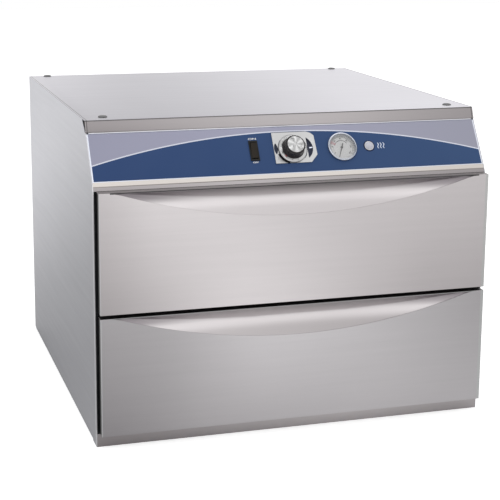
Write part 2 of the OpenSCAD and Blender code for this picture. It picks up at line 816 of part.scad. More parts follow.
module rollers(floor_z, y) {
    color([0.93, 0.92, 0.88]) placed() translate([0, 0, floor_z]) both_sides() roller(y);
}

// ---- Drawers: each takes the height of its face's bottom, or of its opening's floor ----

face_y = -face_stand;

// The bell-shaped opening in the face, drawn in (x, z) with z = 0 at the face's top
bell_flat = 14;           // half width over which each end runs out into the top edge
module bell() {
    half = pull_half_w + bell_flat;
    points = [for (i = [0 : 48])
        let (x = half * (i / 24 - 1), main = 1 - pow(x / pull_half_w, 2),
            tail = pow(max(0, half - abs(x)) / (2.6 * bell_flat), 2) * 0.14)
        [x, -pull_h * max(main, min(tail, 0.14))]];
    polygon(concat([[half, 5], [-half, 5]], points));
}

module drawer_face(z) {
    x = face_w / 2;
    color(steel) placed() translate([0, 0, z]) difference() {
        block([-x, face_y, 0], [x, back_y, face_h]);
        block([-x + sheet_t, face_y + sheet_t, sheet_t],
            [x - sheet_t, back_y + 1, face_h - sheet_t]);
        translate([0, 0, face_h - sheet_t]) intersection() {
            along_y(face_y - 1, face_y + sheet_t) translate([0, sheet_t]) bell();
            block([-x, face_y - 2, -face_h], [x, 0, 0]);
        }
    }
}

pull_path = rounded([[face_y + sheet_t + fine, -sheet_t - 0.8], [face_y + pull_depth, -pull_h * 0.4],
    [face_y + sheet_t + fine, -pull_h - 0.5], [face_y + sheet_t + fine, -pull_h - 9]], [9, 2], 6);

module finger_pull(z) {
    x = face_w / 2 - sheet_t - fine;
    color(steel) placed() translate([0, 0, z + face_h])
        bent_sheet(pull_path, sheet_t, -x, x);
}

plug_half = runner_x - 3;
plug_margin = 4;

module inner_panel(z, mouth) {
    x = face_w / 2 - sheet_t - fine;
    low = mouth[0] + plug_margin;
    high = mouth[1] - plug_margin;
    color(steel) placed() difference() {
        union() {
            block([-x, back_y - sheet_t, z + sheet_t + fine], [x, back_y, z + face_h - sheet_t - fine]);
            block([-plug_half, back_y, low], [plug_half, plug_depth, high]);
        }
        block([-plug_half + sheet_t, back_y - 5, low + sheet_t],
            [plug_half - sheet_t, plug_depth - sheet_t, high - sheet_t]);
    }
}

module drawer_insulation(z, mouth) {
    x = face_w / 2 - sheet_t - 1;
    low = mouth[0] + plug_margin + sheet_t;
    high = mouth[1] - plug_margin - sheet_t;
    color(wool) placed() {
        block([-x, face_y + sheet_t, z + sheet_t], [x, back_y - sheet_t, z + face_h - pull_h - 11]);
        block([-plug_half + sheet_t, back_y - sheet_t, low],
            [plug_half - sheet_t, plug_depth - sheet_t, high]);
    }
}

gasket_w = 8;
gasket_margin = 1.5;
module gasket(mouth) {
    x = wall_x + gasket_margin;
    low = mouth[0] - gasket_margin;
    high = mouth[1] + gasket_margin;
    color(black) placed() along_y(back_y, -move_gap) difference() {
        translate([-x - gasket_w, low - gasket_w])
            square([2 * (x + gasket_w), high - low + 2 * gasket_w]);
        translate([-x, low]) square([2 * x, high - low]);
    }
}

bar_flange = 16;
bar_h = 28;
module drawer_frame(floor_z) {
    color(dark_steel) placed() translate([0, 0, floor_z + seat_up]) {
        for (bar = [[plug_depth, 1], [runner_end, -1]]) {
            edge = bar[0] + bar[1] * rail_t;
            foot = bar[0] + bar[1] * bar_flange;
            block([-seat_x, min(bar[0], edge), -bar_h], [seat_x, max(bar[0], edge), 0]);
            block([-seat_x, min(edge, foot), -rail_t], [seat_x, max(edge, foot), 0]);
        }
    }
}

module pan(floor_z) {
    y = pan_y + pan_l / 2;
    color(steel) placed() translate([0, y, floor_z + seat_up]) difference() {
        union() {
            linear_extrude(pan_t) rounded_rect(pan_w + 2 * pan_rim, pan_l + 2 * pan_rim, pan_r);
            translate([0, 0, pan_t - pan_h])
                linear_extrude(pan_h) rounded_rect(pan_w + 2 * pan_t, pan_l + 2 * pan_t, pan_r);
        }
        translate([0, 0, 2 * pan_t - pan_h])
            linear_extrude(pan_h) rounded_rect(pan_w, pan_l, pan_r - pan_t);
    }
}

lower_z = face_bottom;
upper_z = face_bottom + face_h + face_gap;

top_cover();
left_side_panel();
right_side_panel();
rear_panel();
base_pan();
base_front_strip();
front_frame();
control_panel();
control_overlay();
bezel_plate();
cavity_liner();
left_insulation();
right_insulation();
base_insulation();
roof_insulation();
rear_insulation();
heating_cable();
top_plugs();
thermostat_body();
thermostat_sensor();
rocker_housing();
thermometer_case();
thermometer_dial();
thermometer_lens();
thermometer_sensor();
lamp_body();
lamp_lens();
terminal_block();
cord_bushing();
casing_screws();
rails(upper_mouth[0]);  // upper_rails
rails(lower_mouth[0]);  // lower_rails
knob_shaft();
knob_dial();
knob_grip();
knob_cap();
rocker_button();
thermometer_needle();
drawer_face(upper_z);  // upper_drawer_face
finger_pull(upper_z);  // upper_finger_pull
drawer_insulation(upper_z, upper_mouth);  // upper_drawer_insulation
inner_panel(upper_z, upper_mouth);  // upper_inner_panel
gasket(upper_mouth);  // upper_gasket
runners(upper_mouth[0]);  // upper_runners
drawer_frame(upper_mouth[0]);  // upper_drawer_frame
pan(upper_mouth[0]);  // upper_pan
drawer_face(lower_z);  // lower_drawer_face
finger_pull(lower_z);  // lower_finger_pull
drawer_insulation(lower_z, lower_mouth);  // lower_drawer_insulation
inner_panel(lower_z, lower_mouth);  // lower_inner_panel
gasket(lower_mouth);  // lower_gasket
runners(lower_mouth[0]);  // lower_runners
drawer_frame(lower_mouth[0]);  // lower_drawer_frame
pan(lower_mouth[0]);  // lower_pan
rollers(upper_mouth[0], front_roller_y);  // upper_front_rollers
rollers(upper_mouth[0], rear_roller_y);  // upper_rear_rollers
rollers(lower_mouth[0], front_roller_y);  // lower_front_rollers
rollers(lower_mouth[0], rear_roller_y);  // lower_rear_rollers
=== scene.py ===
# %% [markdown]
# # A countertop warming drawer, dressed in Blender
#
# The construction arrives finished: every sheet, roller, knob and pan is already in place,
# at its real size, and each one belongs to a body that can move. This file only gives those
# pieces the looks of the real ones. It never moves or resizes them. Each step first says
# what the piece or the finish is on the real cabinet, then how it is made here and why.

# %% Load the construction
import json
import math

import bmesh
import bpy
from mathutils import Matrix, Vector

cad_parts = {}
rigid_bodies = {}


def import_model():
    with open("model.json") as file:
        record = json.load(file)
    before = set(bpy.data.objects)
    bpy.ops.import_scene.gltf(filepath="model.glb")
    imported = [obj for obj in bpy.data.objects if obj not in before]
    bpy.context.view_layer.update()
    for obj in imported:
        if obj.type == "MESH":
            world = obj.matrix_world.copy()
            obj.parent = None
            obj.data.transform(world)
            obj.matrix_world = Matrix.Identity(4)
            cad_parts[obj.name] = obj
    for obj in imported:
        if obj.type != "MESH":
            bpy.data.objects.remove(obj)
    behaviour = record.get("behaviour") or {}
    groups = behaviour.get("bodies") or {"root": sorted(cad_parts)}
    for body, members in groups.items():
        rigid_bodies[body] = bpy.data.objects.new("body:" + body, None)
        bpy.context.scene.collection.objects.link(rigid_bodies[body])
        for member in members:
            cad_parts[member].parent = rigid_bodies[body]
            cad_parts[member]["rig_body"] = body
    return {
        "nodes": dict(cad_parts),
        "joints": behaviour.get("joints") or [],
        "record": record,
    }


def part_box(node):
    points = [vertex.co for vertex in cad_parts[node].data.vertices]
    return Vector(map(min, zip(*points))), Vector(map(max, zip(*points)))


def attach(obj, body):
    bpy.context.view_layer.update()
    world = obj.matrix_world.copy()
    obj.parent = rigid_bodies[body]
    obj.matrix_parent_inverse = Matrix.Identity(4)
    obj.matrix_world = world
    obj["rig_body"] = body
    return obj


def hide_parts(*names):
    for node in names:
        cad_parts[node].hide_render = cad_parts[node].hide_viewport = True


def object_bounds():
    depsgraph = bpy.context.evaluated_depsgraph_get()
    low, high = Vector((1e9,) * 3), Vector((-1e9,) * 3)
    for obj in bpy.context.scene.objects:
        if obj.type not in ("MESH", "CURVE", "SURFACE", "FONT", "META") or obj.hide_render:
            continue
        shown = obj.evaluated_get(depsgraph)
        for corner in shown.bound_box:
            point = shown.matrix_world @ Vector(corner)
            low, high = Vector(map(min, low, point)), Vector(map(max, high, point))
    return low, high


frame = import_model()
nodes = frame["nodes"]
cad_box = [list(corner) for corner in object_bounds()]
MM = 0.001
print("construction box in metres:", cad_box)


def new_piece(name, data, finish=None):
    """Puts a mesh, curve, lamp or camera in the scene; a mesh may get a finish."""
    piece = bpy.data.objects.new(name, data)
    bpy.context.scene.collection.objects.link(piece)
    if finish:
        data.materials.clear()
        data.materials.append(finish)
    return piece

# %% [markdown]
# ## The camera
#
# The photographer stood to the left of the cabinet and well above it, with a long lens from
# about two metres, and kept the cabinet's upright edges nearly parallel. A small downward
# shift of the lens does part of that. The values are real ones: a place in metres, three
# angles, and a focal length as a number of pixels across a picture of 500 pixels.

# %% Camera
PICTURE = 500
camera_place = Vector((-0.6646, -2.2118, 0.7847))
yaw, pitch, roll = math.radians(17.17), math.radians(11.85), math.radians(0.49)
focal_pixels = 1366.8
lens_shift = -0.10

camera = new_piece("camera", bpy.data.cameras.new("camera"))
ahead = Vector((math.sin(yaw) * math.cos(pitch), math.cos(yaw) * math.cos(pitch), -math.sin(pitch)))
level = Vector((math.cos(yaw), -math.sin(yaw), 0))
above = level.cross(ahead)
side = level * math.cos(roll) + above * math.sin(roll)
top = above * math.cos(roll) - level * math.sin(roll)
turn = Matrix((side, top, -ahead)).transposed()
camera.matrix_world = Matrix.Translation(camera_place) @ turn.to_4x4()
camera.data.sensor_width = 36
camera.data.lens = focal_pixels / PICTURE * camera.data.sensor_width
camera.data.shift_y = lens_shift
camera.data.clip_end = 50
bpy.context.scene.camera = camera
bpy.context.scene.view_settings.view_transform = "Standard"
print("lens in millimetres:", round(camera.data.lens, 1))

# %% [markdown]
# ## Shader maths as plain Python
#
# A material is a small program. Wiring its maths node by node hides what it says, so a
# `Wire` wraps a socket and understands `+`, `-`, `*`, `/`, `<`, `>` and `abs`. A line such
# as `1 - streaks * 0.2` then adds the Math nodes by itself. A comparison gives 1 where it
# holds and 0 elsewhere, so a product of comparisons is a mask. Colours are mixed with Mix
# nodes, because a Math node would turn them grey.

# %% Wires and finishes
def operator(operation, swapped=False):
    """A method that adds a Math node after a wire."""
    def method(wire, other):
        pair = (other, wire) if swapped else (wire, other)
        return wire.graph.node("ShaderNodeMath", {"operation": operation}, *pair)
    return method


class Wire:
    """One output socket of a graph, usable in arithmetic."""

    def __init__(self, graph, socket):
        self.graph = graph
        self.socket = socket

    def call(self, operation, other=0.0):
        return operator(operation)(self, other)

    def __abs__(self):
        return self.call("ABSOLUTE")

    __add__ = __radd__ = operator("ADD")
    __sub__ = operator("SUBTRACT")
    __rsub__ = operator("SUBTRACT", swapped=True)
    __mul__ = __rmul__ = operator("MULTIPLY")
    __truediv__ = operator("DIVIDE")
    __lt__ = operator("LESS_THAN")
    __gt__ = operator("GREATER_THAN")


class Graph:
    """A tree of shader nodes."""

    def __init__(self, tree):
        self.tree = tree

    def node(self, kind, settings, *values, out=0, **named):
        """Adds a node with its settings and inputs, and gives one of its outputs."""
        made = self.tree.nodes.new(kind)
        for key, value in settings.items():
            setattr(made, key, value)
        for socket, value in zip(made.inputs, values):
            self.feed(socket, value)
        for key, value in named.items():
            self.feed(made.inputs[key.replace("_", " ")], value)
        return Wire(self, made.outputs[out])

    def feed(self, socket, value):
        if isinstance(value, Wire):
            self.tree.links.new(value.socket, socket)
        else:
            socket.default_value = value

    def ray(self, kind):
        """1 where a ray of this kind looks, else 0."""
        return self.node("ShaderNodeLightPath", {}, out=f"Is {kind} Ray")


class Finish(Graph):
    """A material, built from the inside of the object outwards."""

    def __init__(self, name, metallic=0.0, roughness=0.5, **fixed):
        self.material = bpy.data.materials.new(name)
        self.material.use_nodes = True
        super().__init__(self.material.node_tree)
        self.shader = self.tree.nodes["Principled BSDF"]
        self.set("Metallic", metallic)
        self.set("Roughness", roughness)
        for socket, value in fixed.items():
            self.set(socket.replace("_", " "), value)
        self.place = self.node("ShaderNodeTexCoord", {}, out="Object")

    def set(self, socket, value):
        self.feed(self.shader.inputs[socket], value)

    def measure(self, direction, start=(0, 0, 0)):
        """How far the surface lies from start along a direction, in metres."""
        reach = self.node("ShaderNodeVectorMath", {"operation": "DOT_PRODUCT"}, self.place,
                          tuple(direction), out="Value")
        return reach - Vector(direction).dot(Vector(start))

    def along(self, direction, start, end):
        """0 to 1 as the surface runs from start to end, in metres, along a direction."""
        return self.node("ShaderNodeMapRange", {}, self.measure(direction), start, end, 0.0, 1.0)

    def ramp(self, factor, stops, interpolation="LINEAR"):
        """Colours by a factor, through stops of (place, colour)."""
        wire = self.node("ShaderNodeValToRGB", {}, factor)
        ramp = wire.socket.node.color_ramp
        ramp.interpolation = interpolation
        while len(ramp.elements) < len(stops):
            ramp.elements.new(0.5)
        for element, (position, colour) in zip(ramp.elements, stops):
            element.position = position
            element.color = colour
        return wire

    def tones(self, factor, stops, tint):
        """Greys by a factor, smoothly through stops of (place, grey value)."""
        return self.ramp(factor, toned(stops, tint), "CARDINAL")

    def mix(self, factor, first, second):
        """The first colour where the factor is 0, the second where it is 1."""
        made = self.tree.nodes.new("ShaderNodeMix")
        made.data_type = "RGBA"
        for socket, value in ((0, factor), (6, first), (7, second)):
            self.feed(made.inputs[socket], value)
        return Wire(self, made.outputs[2])

    def grain(self, scale, detail=2.0):
        """Noise from 0 to 1 with cells of 1 / scale metres; one scale, or one for each axis."""
        scales = scale if isinstance(scale, tuple) else (scale, scale, scale)
        stretched = self.node("ShaderNodeMapping", {}, self.place, Scale=scales)
        return self.node("ShaderNodeTexNoise", {}, stretched, Scale=1.0, Detail=detail)

    def relief(self, height, depth, strength):
        """Bends the light as if the surface rose by a height from 0 to 1 times a depth."""
        self.set("Normal", self.node("ShaderNodeBump", {}, Strength=strength, Distance=depth,
                                     Height=height))


def between(value, low, high):
    """1 where low < value < high, else 0."""
    return (value > low) * (value < high)


def hypotenuse(across, up):
    """How far a spot lies from the origin of two wires."""
    return (across * across + up * up).call("SQRT")


def display(red, green, blue):
    """A colour given as it looks on a screen, 0 to 255, turned into the linear one."""
    def straight(value):
        share = value / 255
        return share / 12.92 if share <= 0.04045 else ((share + 0.055) / 1.055) ** 2.4
    return (straight(red), straight(green), straight(blue), 1.0)


def grey(value):
    return display(value, value, value)


def toned(stops, tint):
    """Stops of (place, grey value), each value shifted a little per channel."""
    return [(place, display(*(value + shift for shift in tint))) for place, value in stops]

# %% [markdown]
# ## The studio
#
# A catalogue photo like this has a white floor that runs into a white backdrop. The world
# is plain white for whatever looks at it directly or in a reflection, and dimmer as a
# light, so that a painted surface renders about as its colour is written. The floor takes
# part in the light and keeps a soft shadow, and glows a little for the camera so that it
# meets the backdrop without a line.

# %% Floor and world
FLOOR_HALF = 9.0
FLOOR_DOWN = 0.3 * MM                 # below the cabinet, so that the two never share a plane
AMBIENT = 0.62                        # the world's strength as a light
FLOOR_GLOW, GLOW_BESIDE = 0.62, 0.2   # seen by the camera, and in glossy and clear surfaces

world = bpy.data.worlds.new("studio")
bpy.context.scene.world = world
world.use_nodes = True
sky = Graph(world.node_tree)
sky.tree.nodes.clear()
looked_at = sky.ray("Camera").call("MAXIMUM", sky.ray("Glossy"))
looked_at = looked_at.call("MAXIMUM", sky.ray("Transmission"))
dim, white = [sky.node("ShaderNodeBackground", {}, (1, 1, 1, 1), strength)
              for strength in (AMBIENT, 1.0)]
backdrop = sky.node("ShaderNodeMixShader", {}, looked_at, dim, white)
sky.feed(sky.tree.nodes.new("ShaderNodeOutputWorld").inputs[0], backdrop)

floor_mesh = bpy.data.meshes.new("floor")
floor_mesh.from_pydata([(x * FLOOR_HALF, y * FLOOR_HALF, -FLOOR_DOWN)
                        for x, y in ((-1, -1), (1, -1), (1, 1), (-1, 1))], [], [(0, 1, 2, 3)])
paper = Finish("floor", roughness=0.9)
paper.set("Base Color", paper.mix(paper.grain(40, detail=3), (0.90, 0.90, 0.90, 1),
                                  (0.93, 0.93, 0.93, 1)))
paper.set("Emission Color", (1, 1, 1, 1))
beside = paper.ray("Glossy") + paper.ray("Transmission")
paper.set("Emission Strength", paper.ray("Camera") * FLOOR_GLOW + beside * GLOW_BESIDE)
floor = new_piece("floor", floor_mesh, paper.material)
print("floor:", 2 * FLOOR_HALF, "metres square")

# %% [markdown]
# ## The lamps
#
# Three large soft boxes: a key from the front and a little left, a weak fill from the
# right, and one overhead that makes the top the palest face. Large lamps give broad soft
# highlights on brushed steel, and their strengths add up with the world to about 1.

# %% Lamps
LOOKED_AT = Vector((0, 0, 0.25))


def soft_box(name, place, size, watts):
    """A square lamp that looks at the middle of the cabinet."""
    lamp = bpy.data.lights.new(name, "AREA")
    lamp.shape = "SQUARE"
    lamp.size = size
    lamp.energy = watts
    holder = new_piece(name, lamp)
    holder.location = place
    holder.rotation_euler = (LOOKED_AT - holder.location).to_track_quat("-Z", "Y").to_euler()


soft_box("key_lamp", (-1.1, -2.9, 2.6), 2.2, 26)
soft_box("fill_lamp", (2.8, -1.4, 1.5), 2.0, 8)
soft_box("top_lamp", (0.5, 0.5, 3.2), 2.6, 16)

# %% [markdown]
# ## Brushed stainless steel
#
# Nearly everything that shows is brushed sheet. Its look has three scales: broad soft
# tones, painted into the colour as the light and reflections that the sheet picks up from
# the room and the lamps; faint streaks a few centimetres long, left by the brushing belt;
# and hair-fine scratches that only spread the highlights. The painted tones run along one
# axis through a few stops, and a second set of stops can take over towards the far edge.
# The streaks stretch a noise along the grain, and the scratches lift the surface a little.
# A `touch` is a small function that adds a piece's own lines and edges, most of them
# painted shade and painted highlights.

# %% Steel
X, Y, Z = (1, 0, 0), (0, 1, 0), (0, 0, 1)
PLAIN, WARM, COOL = (0, 0, 0), (0, -5, -4), (0, 0, 5)
GRAIN_LONG, GRAIN_FINE = 5, 1400      # noise cells per metre, along and across the brushing
STREAK, CLOUDS = 0.12, 5              # streaks are coarser scratches; clouds are cells per metre
WEAR, STREAK_WEAR, CLOUD_WEAR = 0.03, 0.10, 0.08     # shares of a darker grey in the tone


def brushed_scales(grain, coarse=1.0):
    """Scales of a noise stretched along the grain's axis."""
    fine = GRAIN_FINE * coarse
    return tuple(GRAIN_LONG if axis == grain else fine for axis in "XYZ")


def steel(name, tones, tint, direction, start, end, far_tones=None, across=None, touch=None,
          grain="X", roughness=0.36, scratch=0.35):
    """Brushed sheet with painted tones of light and reflection from start to end along a direction."""
    finish = Finish(name, metallic=1.0)
    run = finish.along(direction, start, end)
    tone = finish.tones(run, tones, tint)
    if far_tones:
        tone = finish.mix(finish.along(*across), tone, finish.tones(run, far_tones, tint))
    if touch:
        tone = touch(finish, tone)
    streaks = finish.grain(brushed_scales(grain, STREAK), detail=3)
    scratches = finish.grain(brushed_scales(grain))
    clouds = finish.grain(CLOUDS)
    wear = (streaks - 0.5) * STREAK_WEAR + (clouds - 0.5) * CLOUD_WEAR + WEAR
    finish.set("Base Color", finish.mix(wear, tone, grey(120)))
    finish.set("Roughness", roughness + (streaks - 0.5) * 0.08 + (scratches - 0.5) * 0.06)
    finish.relief(scratches, 0.02 * MM, scratch)
    return finish.material

# %% [markdown]
# ## Softened edges
#
# The construction's sheets have perfectly sharp edges. A folded or sheared edge is round by
# a few tenths of a millimetre, and that thin round catches the light as a bright line. So
# each sheet that shows is copied, its loose triangles are joined into whole faces, and the
# copy gets a small bevel with hardened normals, which keep the flats flat. The copy stands
# in the place of the original piece.

# %% Softening
SMOOTH_BELOW = math.radians(34)
slot_of = {entry["node"]: entry["material_slot"] for entry in frame["record"]["subparts"]}


def evaluated(piece):
    """The finished shape of a piece, with its modifiers, as a mesh of its own."""
    graph = bpy.context.evaluated_depsgraph_get()
    return bpy.data.meshes.new_from_object(piece.evaluated_get(graph))


def plain_mesh(piece):
    """Gives the piece its finished shape as its mesh, with the modifiers gone."""
    mesh = evaluated(piece)
    piece.modifiers.clear()
    piece.data = mesh
    return piece


def as_mesh(curve):
    """A curve or text turned into a mesh where it lies, at the origin."""
    holder = new_piece(curve.name, curve)
    mesh = evaluated(holder)
    bpy.data.objects.remove(holder)
    return mesh


def joined_copy(node, finish):
    """A copy of a construction piece whose triangles are merged into whole faces."""
    work = bmesh.new()
    work.from_mesh(nodes[node].data)
    bmesh.ops.remove_doubles(work, verts=work.verts, dist=0.002 * MM)
    bmesh.ops.dissolve_limit(work, angle_limit=math.radians(0.3), verts=work.verts,
                             edges=work.edges)
    mesh = bpy.data.meshes.new(node + "_dressed")
    work.to_mesh(mesh)
    work.free()
    return new_piece(node + "_dressed", mesh, finish)


def ride_with(piece, node):
    """The piece moves with a construction piece."""
    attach(piece, nodes[node]["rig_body"])


def stand_in(piece, node):
    """The piece takes the place of a construction piece, which is hidden."""
    ride_with(piece, node)
    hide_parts(node)


def softened(node, finish, radius=0.35 * MM, steps=2):
    """Stands a copy with rounded edges in for a construction piece."""
    piece = joined_copy(node, finish)
    piece.data.shade_smooth()
    piece.data.set_sharp_from_angle(angle=SMOOTH_BELOW)
    edges = piece.modifiers.new("edges", "BEVEL")
    edges.width = radius
    edges.segments = steps
    edges.limit_method = "ANGLE"
    edges.angle_limit = SMOOTH_BELOW
    edges.harden_normals = True
    edges.use_clamp_overlap = True
    stand_in(plain_mesh(piece), node)

# %% [markdown]
# ## The casing
#
# The top cover is painted as the palest sheet, because it looks up into the lamps, and
# painted paler to the right. Its folded front edge leans and is painted a shade darker than
# the top, with a painted thin shadow line where it bends. The sides are brushed from front
# to back and painted to fade to a bluish grey towards the counter, as shade, with a painted
# highlight along their front edge. The front flanges of the sides lie in the dark slit
# beside the drawers, and their fronts are painted near-black as the slit's shade.

# %% Casing sheets
low, high = (Vector(corner) for corner in cad_box)
cover_low, cover_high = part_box("top_cover")
HEADER_DEPTH = 9 * MM                 # how far the folded front edge leans back
HEADER_DOWN = 0.7 * MM                # where the folded edge's painted darker tones start, below the top
BEND = (0.4 * MM, 2.0 * MM)           # the bend's shadow line, below the top
SEAM_IN, SEAM_HALF = 2.5 * MM, 0.6 * MM     # the seam between cover and side, in from the edge
header_stops = [(0, 140), (0.5, 180), (1, 150)]


def cover_touch(finish, tone):
    """The folded front edge's painted darker tones, its bend's painted shadow line, and the seams with
    the sides.
    """
    header = finish.tones(finish.along(X, cover_low.x, cover_high.x), header_stops, WARM)
    below_top = cover_high.z - finish.measure(Z)
    front = finish.measure(Y) < cover_low.y + HEADER_DEPTH
    tone = finish.mix((below_top > HEADER_DOWN) * front, tone, header)
    tone = finish.mix(between(below_top, *BEND) * front * 0.75, tone, grey(70))
    from_seam = abs(finish.measure(X)) - (cover_high.x - SEAM_IN)
    return finish.mix((abs(from_seam) < SEAM_HALF) * 0.75, tone, grey(60))


# Painted light: the cover's tones, darker at the left front and palest to the right.
cover_front_stops = [(0, 175), (0.25, 175), (0.7, 210), (1, 215)]
cover_rear_stops = [(0, 205), (0.3, 185), (0.7, 205), (1, 215)]
cover_steel = steel("cover_steel", cover_front_stops, (1, -1, 5), X, cover_low.x, cover_high.x,
                    cover_rear_stops, (Y, cover_low.y, cover_high.y), cover_touch)
softened("top_cover", cover_steel)

SIDE_SLANT = Vector((0, 0.35, 1))     # the painted pale light reaches lower towards the back
side_low = SIDE_SLANT.dot(Vector((0, low.y, 0)))
side_run = high.z + SIDE_SLANT.y * (high.y - low.y)
# Painted shade: the sides darker towards the counter, paler higher up.
side_stops = [(0, 145), (0.4, 145), (0.7, 205), (1, 215)]
panel_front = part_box("left_side_panel")[0].y
EDGE_WIDTH = 6 * MM                   # the painted highlight along the side's front edge
FLANGE_IN, FLANGE_FRONT = 1.2 * MM, 0.4 * MM     # where the front flange starts, and its skin; they bound the painted near-black shade


def side_touch(finish, tone):
    """A painted highlight along the front edge, and painted near-black shade on the front flange."""
    back = finish.measure(Y, (0, panel_front, 0))
    tone = finish.mix((back < EDGE_WIDTH) * 0.35, tone, grey(235))
    inboard = abs(finish.measure(X)) < high.x - FLANGE_IN
    return finish.mix((back < FLANGE_FRONT) * inboard, tone, display(24, 25, 28))


side_steel = steel("side_steel", side_stops, COOL, SIDE_SLANT, side_low, side_low + side_run,
                   touch=side_touch, grain="Y", roughness=0.4)
for name in ("left_side_panel", "right_side_panel"):
    softened(name, side_steel, 0.5 * MM, 3)
softened("rear_panel", side_steel)

# Painted light: the strip's tones, darker at the left and palest right of the middle.
strip_steel = steel("strip_steel", [(0, 140), (0.6, 180), (1, 165)], WARM, X, low.x, high.x)
softened("base_front_strip", strip_steel)

plug_rubber = Finish("plug_rubber", roughness=0.5)
plug_specks = plug_rubber.grain(900)
plug_rubber.set("Base Color", plug_rubber.mix(plug_specks, grey(92), grey(112)))
plug_rubber.relief(plug_specks, 0.03 * MM, 0.3)
softened("top_plugs", plug_rubber.material, 0.4 * MM, 3)
print("casing sheets dressed")

# %% [markdown]
# ## The rolled hem
#
# The cover's front edge ends in a hem rolled round to a thin bead, which closes the slit
# above the control panel. The bead's round catches the light, and it is also painted pale as
# a highlight, so it draws a bright line across the cabinet. A curve with a round bevel is
# the shortest way to a tube with closed ends.

# %% Hem
HEM_RADIUS = 0.95 * MM
HEM_IN, HEM_SHORT = 0.5 * MM, 4 * MM  # in and down from the cover's edge, and short of its ends
hem_curve = bpy.data.curves.new("rolled_hem", "CURVE")
hem_curve.dimensions = "3D"
hem_curve.bevel_depth = HEM_RADIUS
hem_curve.bevel_resolution = 4
hem_curve.use_fill_caps = True
hem_line = hem_curve.splines.new("POLY")
hem_line.points.add(1)
for point, end in zip(hem_line.points, (-1, 1)):
    point.co = (end * (cover_high.x - HEM_SHORT), cover_low.y + HEM_IN, cover_low.z - HEM_IN, 1)
# Painted highlight: the bead's pale tones.
hem_steel = steel("hem_steel", [(0, 225), (0.5, 230), (1, 220)], COOL, X, low.x, high.x,
                  roughness=0.3)
hem = new_piece("rolled_hem", as_mesh(hem_curve), hem_steel)
hem.data.shade_smooth()
hem.data.set_sharp_from_angle(angle=math.radians(60))
ride_with(hem, "top_cover")
print("hem bead:", round(2 * HEM_RADIUS / MM, 1), "mm thick")

# %% [markdown]
# ## The control panel
#
# The panel is one bent sheet: a printed film covers its slope, and the bare nose under the
# film turns down to the drawers. Where the rounded nose faces up it is painted cream-white
# as lit from above; below the bend it is painted grey as a reflection of the drawer, with a
# painted thin dark line of shade between the two.
# Everything on the slope is placed from the knob's axis, which the construction gives as a
# joint: so many metres to the right, up the slope, and out from the sheet.

# %% Panel axes and nose
knob_joint = next(joint for joint in frame["joints"] if joint["name"] == "knob_turn")
knob_place = Vector(knob_joint["pos_m"])
out_of_panel = Vector(knob_joint["axis"])
up_the_slope = Vector((0, out_of_panel.z, -out_of_panel.y))
panel_frame = Matrix((Vector(X), up_the_slope, out_of_panel)).transposed().to_4x4()
panel_frame.translation = knob_place


def centre_x(node):
    """The middle of a construction piece, from left to right."""
    return sum(corner.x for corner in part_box(node)) / 2


def on_panel(x, up=0.0, out=0.0, turn=0.0):
    """The frame of a spot on the slope; turn is in degrees, anticlockwise."""
    spot = Matrix.Translation((x - knob_place.x, up, out))
    return panel_frame @ spot @ Matrix.Rotation(math.radians(turn), 4, "Z")


panel_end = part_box("control_panel")[1].x
face_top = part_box("upper_drawer_face")[1].z
LIT_BAND, BRIGHT = 5.2 * MM, 11.2 * MM   # where the nose's painted bands of light start, above the drawer
LINE = (LIT_BAND - 0.9 * MM, LIT_BAND + 0.4 * MM)     # the painted dark shade line below the lit band
SHADE, END = -0.4 * MM, 1.6 * MM      # where the slit's painted shade starts, and the painted bright ends' width
lit_band_stops = [(0, 200), (0.5, 215), (1, 200)]


def nose_touch(finish, tone):
    """The nose's painted bands of light and shade, one above the other, and its painted bright ends."""
    rise = finish.measure(Z) - face_top
    lit_band = finish.tones(finish.along(X, low.x, high.x), lit_band_stops, (3, -3, -8))
    tone = finish.mix(rise > LIT_BAND, tone, lit_band)
    tone = finish.mix(rise > BRIGHT, tone, display(212, 218, 232))
    tone = finish.mix(between(rise, *LINE), tone, display(140, 135, 132))
    tone = finish.mix(rise < SHADE, tone, display(26, 26, 28))
    at_end = abs(finish.measure(X)) > panel_end - END
    return finish.mix(at_end * (rise > BRIGHT), tone, display(226, 230, 240))


# Painted reflection: grey tones where the nose turns down and reflects the drawer.
nose_steel = steel("nose_steel", [(0, 155), (0.4, 180), (1, 150)], WARM, X, low.x, high.x,
                   touch=nose_touch, roughness=0.3)
softened("control_panel", nose_steel)
print("slope runs up along", [round(v, 3) for v in up_the_slope])

# %% [markdown]
# ## The printed film
#
# The film on the slope is printed from behind: a wide shallow arc divides a pale field
# from a deep blue one, and a thin light line runs along the arc. Paint or a picture could
# do this, but the print follows a rule. The shader measures how far each point lies from
# the arc's circle and picks the colour by that distance, so the edge stays sharp at any
# zoom. A heat symbol of wavy strokes comes the same way, and so does a dark ring round the
# lamp, which is painted shadow round the lamp's rim and not print.

# %% Film
ARC_RADIUS, ARC_TOP, ARC_LINE = 1119 * MM, 30.5 * MM, 0.9 * MM
lamp_x = centre_x("lamp_body")

film = Finish("printed_film", roughness=0.35, Specular_IOR_Level=0.15)
across_film = film.measure(X)
up_film = film.measure(up_the_slope, knob_place)
to_centre = up_film + (ARC_RADIUS - ARC_TOP)
past_arc = hypotenuse(across_film, to_centre) - ARC_RADIUS
film_run = film.along(X, low.x, high.x)

blue = film.ramp(film_run, [(0, display(45, 70, 115)), (1, display(55, 80, 120))])
pale = film.ramp(film_run, [(0, display(160, 160, 180)), (0.5, display(170, 170, 190)),
                            (1, display(160, 160, 175))])
print_and_shadow = film.mix(past_arc > 0.0, blue, pale)
print_and_shadow = film.mix(between(past_arc, -ARC_LINE, ARC_LINE), print_and_shadow,
                        display(226, 229, 240))

